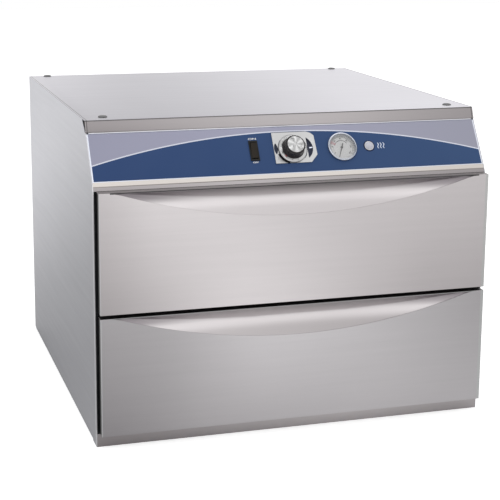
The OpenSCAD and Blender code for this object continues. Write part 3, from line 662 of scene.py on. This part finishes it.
WAVE_PITCH, WAVE_HALF, WAVE_SWING, WAVE_LENGTH = 4.6 * MM, 0.75 * MM, 0.9 * MM, 8 * MM
wave_left, wave_right, wave_low, wave_high = (value * MM for value in (138.3, 152.8, -4.6, 4.9))
bent = across_film - (up_film * (2 * math.pi / WAVE_LENGTH)).call("SINE") * WAVE_SWING
stroke = (bent - wave_left).call("PINGPONG", WAVE_PITCH / 2)
waves = between(stroke, WAVE_PITCH / 2 - WAVE_HALF, WAVE_PITCH)
waves = waves * between(bent, wave_left, wave_right) * between(up_film, wave_low, wave_high)
print_and_shadow = film.mix(waves, print_and_shadow, display(214, 222, 238))

LAMP_RING = 9.4 * MM                  # radius of the painted dark shadow ring round the lamp
from_lamp = hypotenuse(across_film - lamp_x, up_film)
# Painted shadow: the dark ring round the lamp.
print_and_shadow = film.mix(from_lamp < LAMP_RING, print_and_shadow, display(30, 42, 76))
sheen = film.grain(14, detail=1)
film.set("Base Color", film.mix(sheen * 0.06, print_and_shadow, display(120, 135, 165)))
film.set("Roughness", 0.32 + sheen * 0.06)
film.relief(film.grain(1600), 0.01 * MM, 0.15)
softened("control_overlay", film.material, 0.15 * MM)
print("film printed; lamp at x =", round(lamp_x, 4))

# %% [markdown]
# ## Drawer faces
#
# The faces are the widest sheets and carry the broadest painted tones: painted palest left
# of the middle, where they turn the key lamp towards us, and painted darker towards the
# right and the bottom. One set of stops runs along the lower edge, the other along the
# upper edge, and the surface blends them. The sheet folds back all round: its returns are
# painted dark as the shade of the slits, and near-black at their far end as the deepest
# shade. A painted shade band runs under each face's top edge, and painted highlights run
# along its left and right edges.

# %% Faces
# Painted light and reflection: stops along each face's lower edge, then its upper edge.
face_tones = {
    "upper": ([(0, 165), (0.35, 215), (0.75, 185), (1, 170)],
              [(0, 200), (0.15, 220), (0.5, 205), (1, 195)]),
    "lower": ([(0, 140), (0.25, 170), (0.65, 185), (1, 175)],
              [(0, 165), (0.2, 180), (0.45, 205), (1, 160)])}
SKIN, RETURN_END = 0.8 * MM, 6.8 * MM     # the face's front skin, and its returns' end
PULL_HALF = 286 * MM                  # half the width over which the face is cut open
LEFT_EDGE, RIGHT_BAND = 1.3 * MM, 5 * MM  # widths of the painted highlights at both ends of a face
RIM, RIM_PAST = 1.6 * MM, 5 * MM      # the painted shade band under the top edge: its height, and how far it passes the pull
ON_TOP = 0.4 * MM                     # what counts as the upper return, below the top
# Painted shade along the returns, near-black at their far end.
side_return_stops = [(0, 85), (0.35, 120), (0.9, 120), (1, 25)]


def face_touch(box_low, box_high, rim_tone):
    """Painted shade on the returns and under the top edge, and painted highlights along the edges of
    the face.
    """
    def touch(finish, tone):
        back = finish.measure(Y, (0, box_low.y, 0))
        side_return = finish.ramp(back / RETURN_END, toned(side_return_stops, PLAIN))
        top_return = finish.ramp(back / (2 * RETURN_END), toned([(0, 92), (0.5, 150)], WARM))
        below_top = box_high.z - finish.measure(Z)
        folded = finish.mix(below_top < ON_TOP, side_return, top_return)
        tone = finish.mix(back > SKIN, tone, folded)
        front = back < SKIN
        left_edge = finish.measure(X, (box_low.x, 0, 0)) < LEFT_EDGE
        tone = finish.mix(left_edge * front * 0.4, tone, display(205, 208, 208))
        rim = (below_top < RIM) * (abs(finish.measure(X)) < PULL_HALF + RIM_PAST)
        tone = finish.mix(rim * front, tone, grey(rim_tone))
        right_band = finish.measure(X, (box_high.x - RIGHT_BAND, 0, 0)) > 0.0
        return finish.mix(right_band * front * 0.5, tone, display(172, 177, 175))
    return touch


# rim_tone is the grey of the painted shade band under each face's top edge.
for level, tint, rim_tone in (("upper", WARM, 62), ("lower", (0, -3, -1), 150)):
    face_low, face_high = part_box(level + "_drawer_face")
    along_bottom, along_top = face_tones[level]
    face_steel = steel(level + "_face_steel", along_bottom, tint, X, face_low.x, face_high.x,
                       along_top, (Z, face_low.z, face_high.z),
                       face_touch(face_low, face_high, rim_tone))
    softened(level + "_drawer_face", face_steel, 0.5 * MM, 3)
print("drawer faces dressed")

# %% [markdown]
# ## Finger pulls
#
# Behind each arched cut a channel is pressed into the sheet. It dips inwards below the
# drawer's top edge, where its upper band is painted dark as shade, and then leans out
# again, where it is painted palest as lit. The painted shade keeps its height towards the
# ends. A press tool makes such a scoop shallower towards its ends, and its foot follows the
# arched cut. The shape obeys one rule: at each point the depth is a smooth peak between the
# top edge and the cut, times the cut's height there. A grid of points takes its depth from
# that formula, and a thickness behind it makes it sheet again.

# %% Pulls
PULL_KINK, CUT_HEIGHT = 18.6 * MM, 46.5 * MM   # below the drawer's top edge, at mid width
KINK_SHARE = 0.42                     # the kink's place above the foot, where the cut is low
FOOT_BELOW = 1 * MM                   # how far the channel's foot lies below the cut
SHARPNESS, PEAK = 9, 0.93             # of the kink, and the height that its smooth peak reaches
SHALLOWING = 0.8                      # the power of the cut's height that the depth follows
SHADE_FOOT, SHADE_FULL = -18.5 * MM, -12 * MM  # where the shaded band starts and is full
SHEET, SKIN_CLEAR = 1.2 * MM, 0.1 * MM         # thickness, and clearance to the piece's box


def cut_share(x):
    """0 to 1: how high the arched cut is at a place along the width."""
    return max(0.02, 1 - (x / PULL_HALF) ** 2)


def scoop(x, down):
    """0 to 1: how deep the channel is at a place and a distance below the drawer's top edge."""
    share = cut_share(x)
    foot = CUT_HEIGHT * share + FOOT_BELOW
    kink = min(PULL_KINK, KINK_SHARE * foot)
    dipping, rising = down / kink, (foot - down) / (foot - kink)
    peak = -math.log(math.exp(-SHARPNESS * dipping) + math.exp(-SHARPNESS * rising)) / SHARPNESS
    return max(0.0, peak / PEAK) * share ** SHALLOWING


def pull_touch(top_edge):
    """The shaded band keeps its height where the channel gets shallow."""
    def touch(finish, tone):
        across = finish.measure(X) / PULL_HALF
        shade = finish.along(Z, top_edge + SHADE_FOOT, top_edge + SHADE_FULL)
        return finish.mix(shade * across * across * 0.9, tone, display(138, 131, 136))
    return touch


def pressed_pull(level, finish, columns=72, rows=40):
    """The channel as a grid of points with a sheet's thickness behind it."""
    node = level + "_finger_pull"
    box_low, box_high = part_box(node)
    top_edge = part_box(level + "_drawer_face")[1].z
    depth = box_high.y - box_low.y - SHEET - 2 * SKIN_CLEAR
    points, faces = [], []
    for row in range(rows + 1):
        z = box_high.z + (box_low.z - box_high.z) * row / rows
        for column in range(columns + 1):
            x = box_low.x + (box_high.x - box_low.x) * column / columns
            points.append((x, box_low.y + SKIN_CLEAR + depth * scoop(x, top_edge - z), z))
    for row in range(rows):
        for column in range(columns):
            corner = row * (columns + 1) + column
            faces.append((corner, corner + columns + 1, corner + columns + 2, corner + 1))
    mesh = bpy.data.meshes.new(level + "_pressed_pull")
    mesh.from_pydata(points, [], faces)
    piece = new_piece(level + "_pressed_pull", mesh, finish)
    mesh.shade_smooth()
    wall = piece.modifiers.new("wall", "SOLIDIFY")
    wall.thickness = SHEET
    wall.offset = -1
    plain_mesh(piece)
    stand_in(piece, node)
    return piece


def pull_stops(foot, palest, top):
    """Painted tones: even at the foot, painted palest where the channel leans out as lit, and painted
    dark under the top edge as shade.
    """
    return [(0, foot), (0.4, foot), (0.65, palest), (1, top)]


# Painted light and shade per pull: foot, lit band and shade under the top edge, at left and right.
for level, left_tones, right_tones in (("upper", (205, 220, 120), (190, 210, 110)),
                                       ("lower", (190, 220, 170), (165, 210, 140))):
    pull_low, pull_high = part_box(level + "_finger_pull")
    at_left, at_right = pull_stops(*left_tones), pull_stops(*right_tones)
    pull_steel = steel(level + "_pull_steel", at_left, WARM, Z, pull_low.z, pull_high.z, at_right,
                       (X, low.x * 0.4, high.x), pull_touch(pull_high.z + SHEET), roughness=0.4)
    pull = pressed_pull(level, pull_steel)
    print(level, "pull pressed:", len(pull.data.polygons), "faces")

# %% [markdown]
# ## Bezel, knob and rocker
#
# The knob turns in front of a satin aluminium plate with two sunken windows, painted dark as
# the shade inside them; a white mark in the right one shows where the dial stands. The plate
# also carries painted shade along its upper edge and below the knob at the left, and a
# painted dark reflection on the bevel beside the right window. The dial is spun metal: its
# fine circular grooves throw the light back in lobes that fan out from the centre, so its
# painted tone follows the bearing round the axis and not the distance, as a painted
# reflection. The grip is black plastic, and the rocker a satin brown-black.

# %% Round finishes
GROOVE = 0.35 * MM                    # pitch of the lathe's circular grooves


def from_axis(finish, x):
    """How far the surface lies across and up from an axis in the controls' row."""
    return finish.measure(X) - x, finish.measure(up_the_slope, knob_place)


def polar(across, up):
    """The distance from the axis, and the bearing in turns, anticlockwise from the right."""
    return hypotenuse(across, up), up.call("ARCTAN2", across) / (2 * math.pi)


def spun(name, x, stops, roughness=0.3, tint=PLAIN, touch=None, painted_reflections=0.0):
    """Metal turned on a lathe: painted reflection tones by bearing, from the left round by the bottom,
    with painted mottled reflections where asked.
    """
    finish = Finish(name, metallic=1.0)
    distance, bearing = polar(*from_axis(finish, x))
    tone = finish.ramp(bearing + 0.5, toned(stops, tint))
    if touch:
        tone = touch(finish, tone, distance, bearing)
    if painted_reflections:
        # Painted reflections of the room, as dark blotches.
        room = (finish.grain(330, detail=1) - 0.52) * 5
        tone = finish.mix(room.call("MAXIMUM", 0.0).call("MINIMUM", 1.0) * painted_reflections, tone, grey(84))
    specks = finish.grain(700)
    finish.set("Base Color", finish.mix(specks * 0.10, tone, grey(120)))
    finish.set("Roughness", roughness + specks * 0.08)
    finish.relief((distance * (2 * math.pi / GROOVE)).call("SINE"), 0.01 * MM, 0.4)
    return finish.material


def moulded(name, colour, speck, roughness, fine=1500, depth=0.03 * MM, **fixed):
    """A moulded or woven finish: one colour broken up by two sizes of noise."""
    finish = Finish(name, roughness=roughness, **fixed)
    specks, blotches = finish.grain(fine), finish.grain(45, detail=3)
    shade = finish.mix(blotches * 0.5, colour, speck)
    finish.set("Base Color", finish.mix(specks * 0.25, shade, speck))
    finish.set("Roughness", roughness + (blotches - 0.5) * 0.15)
    finish.relief(specks, depth, 0.4)
    return finish.material

# %% Bezel plate
WINDOW_RING = 22.7 * MM, 30 * MM      # the windows' reach from the axis
WINDOW_HALF, WINDOW_FLOOR = 15.5 * MM, 1.9 * MM      # half their height, and where they are sunk
SEGMENT_CENTRE, SEGMENT_RADIUS = (12.2 * MM, 1 * MM), 20.4 * MM      # the painted dark reflection beside the right window: its arc
SEGMENT_LEFT = 23.6 * MM              # and its straight side
MARK = (27 * MM, 31.6 * MM), (0.2 * MM, 2 * MM)      # the white mark's reach across and up
TOP_RIM, TOP_RIM_END = 27.5 * MM, 24 * MM            # the shade along the plate's upper edge
CRESCENT = (-0.45, -0.30), (22 * MM, 25.8 * MM)      # the knob's shade: turns, and from the axis

bezel = Finish("bezel_aluminium", metallic=1.0)
across, up = from_axis(bezel, knob_place.x)
distance, bearing = polar(across, up)
bezel_low, bezel_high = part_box("bezel_plate")
plate = bezel.ramp(bezel.along(X, bezel_low.x, bezel_high.x),
                   toned([(0, 200), (1, 205)], PLAIN))
# Painted shade: the sunken window floors are painted dark.
window = between(distance, *WINDOW_RING) * (abs(up) < WINDOW_HALF)
window = window * (bezel.measure(out_of_panel, knob_place) < WINDOW_FLOOR)
# Painted reflection: the bevel beside the right window is painted dark.
from_segment = hypotenuse(across - SEGMENT_CENTRE[0], up - SEGMENT_CENTRE[1])
shoulder = (from_segment < SEGMENT_RADIUS) * (across > SEGMENT_LEFT)
plate = bezel.mix(window.call("MAXIMUM", shoulder), plate, display(44, 48, 62))
mark = between(across, *MARK[0]) * between(up, *MARK[1])
plate = bezel.mix(mark, plate, display(232, 236, 250))
top_rim = (up > TOP_RIM) * (across < TOP_RIM_END)
plate = bezel.mix(top_rim * 0.8, plate, display(60, 58, 82))
crescent = between(bearing, *CRESCENT[0]) * between(distance, *CRESCENT[1])
plate = bezel.mix(crescent, plate, display(36, 36, 44))
plate_specks = bezel.grain((60, 900, 900))
bezel.set("Base Color", bezel.mix(plate_specks * 0.12, plate, grey(120)))
bezel.set("Roughness", 0.30 + plate_specks * 0.08)
bezel.relief(plate_specks, 0.01 * MM, 0.3)
softened("bezel_plate", bezel.material, 0.3 * MM)
print("bezel windows lie", round(WINDOW_RING[0] / MM, 1), "mm from the knob's axis")

# %% Knob and rocker
RED_MARK = (-0.397, -0.370), (17.4 * MM, 20.6 * MM)  # its reach in turns and from the axis
RIM_START, RIM_TURN = 18.9 * MM, 0.36                # where the rim is pale: from here outwards


LOBES = 12                            # bright and dark fans of light on the cap


def dial_touch(finish, tone, distance, bearing):
    """The red mark, and the dial's pale rim on the left."""
    red = between(bearing, *RED_MARK[0]) * between(distance, *RED_MARK[1])
    tone = finish.mix(red, tone, display(186, 80, 84))
    rim = (distance > RIM_START) * (abs(bearing) > RIM_TURN)
    return finish.mix(rim * 0.8, tone, grey(198))


# Painted reflection: the dial's dark wedges and bright lobes by bearing.
dial_metal = spun("dial_metal", knob_place.x,
                  [(0, 235), (0.05, 65), (0.12, 200), (0.5, 190), (0.8, 200), (0.95, 85), (1, 235)],
                  touch=dial_touch)
fans = [(lobe / LOBES, 225 if lobe % 2 else 170) for lobe in range(LOBES + 1)]
cap_metal = spun("cap_metal", knob_place.x, fans, roughness=0.34, painted_reflections=0.6)
softened("knob_dial", dial_metal, 0.2 * MM)
softened("knob_cap", cap_metal, 0.4 * MM, 3)
grip_black = moulded("grip_black", display(36, 31, 33), display(20, 17, 19), 0.42, fine=1100)
softened("knob_grip", grip_black, 0.3 * MM)

rocker_black = moulded("rocker_black", display(24, 25, 24), display(14, 14, 13), 0.4,
                       Specular_IOR_Level=0.25)
rocker_brown = moulded("rocker_brown", display(42, 36, 28), display(25, 21, 17), 0.4,
                       Specular_IOR_Level=0.2)
softened("rocker_housing", rocker_black, 0.4 * MM, 3)
softened("rocker_button", rocker_brown, 0.4 * MM, 3)
print("knob and rocker dressed")

# %% [markdown]
# ## Thermometer and lamp
#
# The thermometer has a polished rim, a pale dial and a clear flat lens. The polished rims of
# the thermometer and the lamp are painted with reflection tones by bearing. The lens is
# almost only a reflection, so it is a nearly transparent surface with full gloss. The
# lamp's lens is frosted, and looks grey-white while the lamp is off.

# %% Thermometer and lamp
gauge_x = centre_x("thermometer_case")
# Painted reflection: the rim's light and dark tones by bearing.
chrome = spun("polished_rim", gauge_x,
              [(0, 175), (0.25, 200), (0.45, 150), (0.75, 230), (1, 175)], roughness=0.2,
              tint=(-4, 0, 10))
softened("thermometer_case", chrome, 0.5 * MM, 3)

SCALE_INNER = 16.6 * MM               # where the scale's ring starts, from the axis
SCALE_SHADE = 0.425, 0.45             # heights in metres over which that ring darkens
ARC = (0.1, 0.45), (11.2 * MM, 12.2 * MM)            # reach in turns, and from the axis
SECTOR = (0.39, 0.44), (10.5 * MM, 19 * MM)
card = Finish("dial_card", roughness=0.5)
distance, bearing = polar(*from_axis(card, gauge_x))
card_specks = card.grain(500)
card_colour = card.mix(card_specks * 0.35, grey(206), grey(186))
scale_ring = card.along(Z, *SCALE_SHADE) * (distance > SCALE_INNER)
card_colour = card.mix(scale_ring * 0.6, card_colour, display(96, 98, 100))
inner_arc = between(bearing, *ARC[0]) * between(distance, *ARC[1])
card_colour = card.mix(inner_arc, card_colour, grey(64))
warm_sector = between(bearing, *SECTOR[0]) * between(distance, *SECTOR[1])
card_colour = card.mix(warm_sector * 0.55, card_colour, display(170, 84, 96))
card.set("Base Color", card_colour)
card.set("Roughness", 0.45 + card_specks * 0.1)
softened("thermometer_dial", card.material, 0.1 * MM)

clear = Finish("clear_lens", roughness=0.04, Alpha=0.10)
clear_haze = clear.grain(80)
clear.set("Base Color", clear.mix(clear_haze, grey(236), grey(250)))
clear.set("Roughness", 0.03 + clear_haze * 0.04)
softened("thermometer_lens", clear.material, 0.3 * MM)
softened("thermometer_needle", moulded("needle_black", grey(20), grey(12), 0.4), 0.06 * MM)

# Painted reflection: the lamp rim's tones by bearing.
lamp_chrome = spun("lamp_rim", lamp_x, [(0, 190), (0.25, 225), (0.5, 200), (0.8, 235), (1, 190)],
                   roughness=0.22)
softened("lamp_body", lamp_chrome, 0.25 * MM)
frost = Finish("frosted_lens", roughness=0.5, Specular_IOR_Level=0.5)
frost_specks = frost.grain(420, detail=3)
frost.set("Base Color", frost.mix(frost_specks, display(186, 186, 197), display(210, 210, 218)))
frost.set("Roughness", 0.4 + frost_specks * 0.2)
frost.relief(frost_specks, 0.15 * MM, 0.5)
softened("lamp_lens", frost.material, 0.2 * MM)
print("thermometer at x =", round(gauge_x, 4))

# %% [markdown]
# ## Scale marks with Geometry Nodes
#
# Two dials carry rings of fine marks. A ring of marks is one rule: so many bars, spread
# over so much of a turn, each pointing outwards, every fifth one longer. A Geometry Nodes
# tree says that once, and its maths reads like the shaders', because a `Tree` is a graph
# too. Its named inputs are the sizes, so the same tree draws both dials, and the result is
# turned into a plain mesh that rides with its dial.

# %% A tree of nodes
class Tree(Graph):
    """A Geometry Nodes tree, with a named input for each size."""

    def __init__(self, name, **sizes):
        super().__init__(bpy.data.node_groups.new(name, "GeometryNodeTree"))
        face = self.tree.interface
        for way in ("INPUT", "OUTPUT"):
            face.new_socket("Geometry", in_out=way, socket_type="NodeSocketGeometry")
        for label, kind in sizes.items():
            face.new_socket(label, in_out="INPUT", socket_type="NodeSocket" + kind)
        self.entry = self.tree.nodes.new("NodeGroupInput")

    def size(self, label):
        return Wire(self, self.entry.outputs[label])

    def triple(self, x, y, z):
        return self.node("ShaderNodeCombineXYZ", {}, x, y, z)

    def close(self, geometry, finish):
        """Ends the tree in Realize Instances and Set Material."""
        real = self.node("GeometryNodeRealizeInstances", {}, geometry)
        last = self.node("GeometryNodeSetMaterial", {}, real, Material=finish)
        self.feed(self.tree.nodes.new("NodeGroupOutput").inputs[0], last)

    def run(self, piece, **values):
        """Gives the piece the tree's result as its mesh."""
        modifier = piece.modifiers.new("nodes", "NODES")
        modifier.node_group = self.tree
        for item in self.tree.interface.items_tree:
            if item.name in values:
                modifier[item.identifier] = values[item.name]
        return plain_mesh(piece)

# %% Rings of marks
def ring_tree(finish):
    """Bars round a circle, on points whose angle follows from their index."""
    tree = Tree("ring_of_marks", Count="Int", Radius="Float", First="Float", Step="Float",
                Length="Float", Width="Float", Height="Float")
    index = tree.node("GeometryNodeInputIndex", {})
    angle = tree.size("First") + index * tree.size("Step")
    across, up = [angle.call(way) * tree.size("Radius") for way in ("COSINE", "SINE")]
    points = tree.node("GeometryNodePoints", {}, tree.size("Count"), tree.triple(across, up, 0.0))
    sides = [tree.size(label) for label in ("Length", "Width", "Height")]
    bar = tree.node("GeometryNodeMeshCube", {}, tree.triple(*sides))
    fifth = index.call("MODULO", 5.0).call("COMPARE", 0.0)
    bars = tree.node("GeometryNodeInstanceOnPoints", {}, Points=points, Instance=bar,
                     Rotation=tree.triple(0.0, 0.0, angle),
                     Scale=tree.triple(fifth * 0.7 + 1.0, 1.0, 1.0))
    tree.close(bars, finish)
    return tree


ink = moulded("scale_ink", grey(26), grey(16), 0.6, depth=0.005 * MM)
ring_of_marks = ring_tree(ink)
PRINT_THICK = 0.08 * MM


def marks(name, node, place, count, radius, first, sweep, length, width):
    """A ring of marks on a dial; first and sweep in degrees, anticlockwise from the right."""
    piece = new_piece(name, bpy.data.meshes.new(name))
    ring_of_marks.run(piece, Count=count, Radius=radius, First=math.radians(first),
                      Step=math.radians(sweep / (count - 1)), Length=length, Width=width,
                      Height=PRINT_THICK)
    piece.data.transform(place)
    ride_with(piece, node)
    print(name, "has", len(piece.data.polygons), "faces")


DIAL_OUT, CARD_OUT = 5.62 * MM, -0.98 * MM     # both dials' faces, out from the panel's sheet
GAUGE_FIRST, GAUGE_SWEEP, KNOB_SWEEP = -35, 250, 285      # degrees
marks("gauge_marks", "thermometer_dial", on_panel(gauge_x, out=CARD_OUT), 31, 18.4 * MM,
      GAUGE_FIRST, GAUGE_SWEEP, 2 * MM, 0.55 * MM)
marks("knob_marks", "knob_dial", on_panel(knob_place.x, out=DIAL_OUT), 51, 20.3 * MM, 0, KNOB_SWEEP,
      0.9 * MM, 0.25 * MM)

# %% [markdown]
# ## Numbers and words
#
# The dials carry plain numbers, and the switch says ON and OFF. Each word starts as a text
# curve with a little thickness, becomes a mesh, and is then laid on its dial by a matrix,
# so that the letters are real geometry that turns with the knob.

# %% Lettering
def lettering(words, size, weight):
    """A word as a thin flat mesh round the origin; weight widens its strokes."""
    text = bpy.data.curves.new("letters", "FONT")
    text.body = words
    text.size = size
    text.align_x = "CENTER"
    text.align_y = "CENTER"
    text.offset = weight
    text.extrude = PRINT_THICK / 2
    text.resolution_u = 3
    return as_mesh(text)


def printed(name, node, finish, words):
    """Several words, each as (mesh, place), joined into one piece on a node's body."""
    work = bmesh.new()
    for mesh, place in words:
        mesh.transform(place)
        work.from_mesh(mesh)
    bmesh.ops.remove_doubles(work, verts=work.verts, dist=0.001 * MM)
    joined = bpy.data.meshes.new(name)
    work.to_mesh(joined)
    work.free()
    ride_with(new_piece(name, joined, finish), node)
    print(name, "has", len(joined.polygons), "faces")


def round_numbers(values, x, out, radius, first, sweep, size, weight):
    """Numbers round a dial, each with its top outwards."""
    step = sweep / (len(values) - 1)
    words = []
    for place, value in enumerate(values):
        angle = first + step * place
        out_there = Matrix.Translation((0, radius, 0))
        words.append((lettering(str(value), size, weight), on_panel(x, 0, out, angle - 90) @ out_there))
    return words


printed("knob_numbers", "knob_dial", ink,
        round_numbers(list(range(11)), knob_place.x, DIAL_OUT, 18.9 * MM, 0, KNOB_SWEEP, 2.5 * MM, 0.0))
printed("gauge_numbers", "thermometer_dial", ink,
        round_numbers([120, 100, 80, 60, 40, 20, 0], gauge_x, CARD_OUT, 14.8 * MM, GAUGE_FIRST,
                      GAUGE_SWEEP, 3.4 * MM, 0.08 * MM))


def wide(factor):
    """A matrix that stretches letters sideways."""
    return Matrix.Diagonal((factor, 1, 1, 1))


white_ink = moulded("white_ink", grey(232), grey(214), 0.5, depth=0.005 * MM)
switch_x = centre_x("rocker_housing")
FILM_OUT = 0.53 * MM                  # the film's face, out from the panel's sheet
printed("switch_words", "control_overlay", white_ink,
        [(lettering("ON", 3.8 * MM, 0.12 * MM), on_panel(switch_x, 19.7 * MM, FILM_OUT) @ wide(2.2)),
         (lettering("OFF", 3.2 * MM, 0.12 * MM), on_panel(switch_x, -18.9 * MM, FILM_OUT) @ wide(1.6))])

# %% [markdown]
# ## Screws
#
# The rear panel is held by pan-head screws with a cross recess. The construction knows
# where each one sits, but its heads are plain. One detailed screw is modelled as rings of
# points whose height follows two rules: a dome towards the rim, and a dip where the point
# lies inside the cross. Geometry Nodes put a copy on each screw's place, each turned by a
# random angle from a fixed seed, because nobody lines up the slots of screws.

# %% One screw
SCREW_HEAD, SHANK_RADIUS, SHANK_LENGTH = 1.8 * MM, 1.6 * MM, 2.6 * MM
CROSS_HALF, CROSS_REACH, CROSS_DEPTH = 0.45 * MM, 1.9 * MM, 0.9 * MM


def screw_islands():
    """The box of each separate screw of the construction."""
    work = bmesh.new()
    work.from_mesh(nodes["casing_screws"].data)
    bmesh.ops.remove_doubles(work, verts=work.verts, dist=0.002 * MM)
    left, boxes = set(work.verts), []
    while left:
        group, edge = set(), [left.pop()]
        while edge:
            vert = edge.pop()
            group.add(vert)
            for other in (link.other_vert(vert) for link in vert.link_edges):
                if other in left:
                    left.discard(other)
                    edge.append(other)
        boxes.append(tuple(Vector([pick(vert.co[axis] for vert in group) for axis in range(3)])
                           for pick in (min, max)))
    work.free()
    return sorted(boxes, key=lambda box: (round(box[0].x, 4), round(box[0].z, 4)))


def head_height(x, y, radius):
    """A dome towards the rim, with a dip where the point lies inside the cross."""
    near, far = sorted((abs(x), abs(y)))
    dip = CROSS_DEPTH if near < CROSS_HALF and far < CROSS_REACH else 0.0
    return SCREW_HEAD * (1 - 0.75 * (math.hypot(x, y) / radius) ** 4) - dip


def screw_mesh(radius, around=40, rings=14):
    """A screw with its head up, as rings of points from the head's middle to the shank's end."""
    work = bmesh.new()
    rows = [(radius * ring / rings, None) for ring in range(rings + 1)]
    rows += [(radius, 0.0), (SHANK_RADIUS, 0.0), (SHANK_RADIUS, -SHANK_LENGTH)]
    made = []
    for reach, height in rows:
        made.append([])
        for step in range(around):
            angle = 2 * math.pi * step / around
            x, y = reach * math.cos(angle), reach * math.sin(angle)
            z = head_height(x, y, radius) if height is None else height
            made[-1].append(work.verts.new((x, y, z)))
    for inner, outer in zip(made, made[1:]):
        for step in range(around):
            after = (step + 1) % around
            work.faces.new((inner[step], outer[step], outer[after], inner[after]))
    work.faces.new(list(reversed(made[-1])))
    bmesh.ops.remove_doubles(work, verts=work.verts, dist=0.001 * MM)
    bmesh.ops.recalc_face_normals(work, faces=work.faces)
    mesh = bpy.data.meshes.new("screw")
    work.to_mesh(mesh)
    work.free()
    mesh.shade_smooth()
    mesh.set_sharp_from_angle(angle=math.radians(40))
    return mesh


screw_boxes = screw_islands()
head_radius = max((box[1].x - box[0].x) / 2 for box in screw_boxes)
screw_model = new_piece("screw_model", screw_mesh(head_radius))
print(len(screw_boxes), "screws with heads of", round(2 * head_radius / MM, 1), "mm")

# %% Screws in their places
# Painted shade: the screws' zinc is darker towards the bottom.
screw_zinc = steel("screw_zinc", [(0, 150), (1, 190)], PLAIN, Z, 0, high.z, roughness=0.3)
screw_tree = Tree("screws_on_points", Screw="Object", Seed="Int")
model = screw_tree.node("GeometryNodeObjectInfo", {}, screw_tree.size("Screw"), out="Geometry")
spin = screw_tree.node("FunctionNodeRandomValue", {"data_type": "FLOAT"}, (0, 0, 0), (1, 1, 1),
                       0.0, math.pi, out=1, Seed=screw_tree.size("Seed"))
placed = screw_tree.node("GeometryNodeInstanceOnPoints", {}, screw_tree.size("Geometry"),
                         Instance=model, Rotation=screw_tree.triple(-math.pi / 2, spin, 0.0))
screw_tree.close(placed, screw_zinc)

spots = bpy.data.meshes.new("cross_head_screws")
spots.from_pydata([((box[0].x + box[1].x) / 2, box[1].y - SCREW_HEAD, (box[0].z + box[1].z) / 2)
                   for box in screw_boxes], [], [])
screws = new_piece("cross_head_screws", spots)
screw_tree.run(screws, Screw=screw_model, Seed=7)
bpy.data.objects.remove(screw_model)
stand_in(screws, "casing_screws")
print("screws placed:", len(screws.data.polygons), "faces")

# %% [markdown]
# ## Inside the cabinet
#
# These pieces show when a drawer is open: the pan of bright pressed steel, the liner, the
# zinc-plated slides, white nylon rollers and a grey rubber gasket. The shapes of the
# construction are right as they are, so most only get a finish. The pans and inner panels
# also get softened edges, because their rims are seen from close by.

# %% Inner finishes
# Painted shade: these steels, and the copper below, are darker towards the bottom.
inner_steel = steel("inner_steel", [(0, 150), (1, 176)], COOL, Z, 0, high.z, grain="Y",
                    roughness=0.4, scratch=0.15)
pan_steel = steel("pan_steel", [(0, 186), (1, 206)], COOL, Z, 0, high.z, roughness=0.36,
                  scratch=0.06)
zinc = steel("zinc_plate", [(0, 152), (1, 174)], COOL, Z, 0, high.z, grain="Y", roughness=0.42,
             scratch=0.12)
for level in ("upper", "lower"):
    softened(level + "_pan", pan_steel, 0.5 * MM)
    softened(level + "_inner_panel", inner_steel)

slot_finishes = {
    "stainless": side_steel,
    "inner_steel": inner_steel,
    "pan_steel": pan_steel,
    "plain_steel": zinc,
    "gasket": moulded("grey_rubber", grey(74), grey(52), 0.7),
    "insulation": moulded("mineral_wool", display(214, 196, 128), display(150, 128, 74), 0.95, 500,
                          0.6 * MM),
    "cable": moulded("silicone_sleeve", display(150, 60, 50), display(110, 40, 36), 0.55),
    "copper": steel("copper_tube", [(0, 130), (1, 145)], (60, -14, -48), Z, 0, high.z, grain="Y",
                    roughness=0.3),
    "nylon": moulded("nylon", display(228, 228, 222), display(204, 204, 196), 0.4),
    "ceramic": moulded("ceramic_block", display(222, 216, 204), display(196, 188, 174), 0.35),
    "black_plastic": rocker_black,
}
dressed = set()
for name, piece in nodes.items():
    finish = slot_finishes.get(slot_of[name])
    if finish is None or piece.hide_render:
        continue
    for material_slot in piece.material_slots:
        material_slot.material = finish
    dressed.add(name)
print("construction pieces with a new finish:", len(dressed))
undressed = [name for name, piece in nodes.items() if not piece.hide_render and name not in dressed]
print("construction pieces left as they came:", undressed)
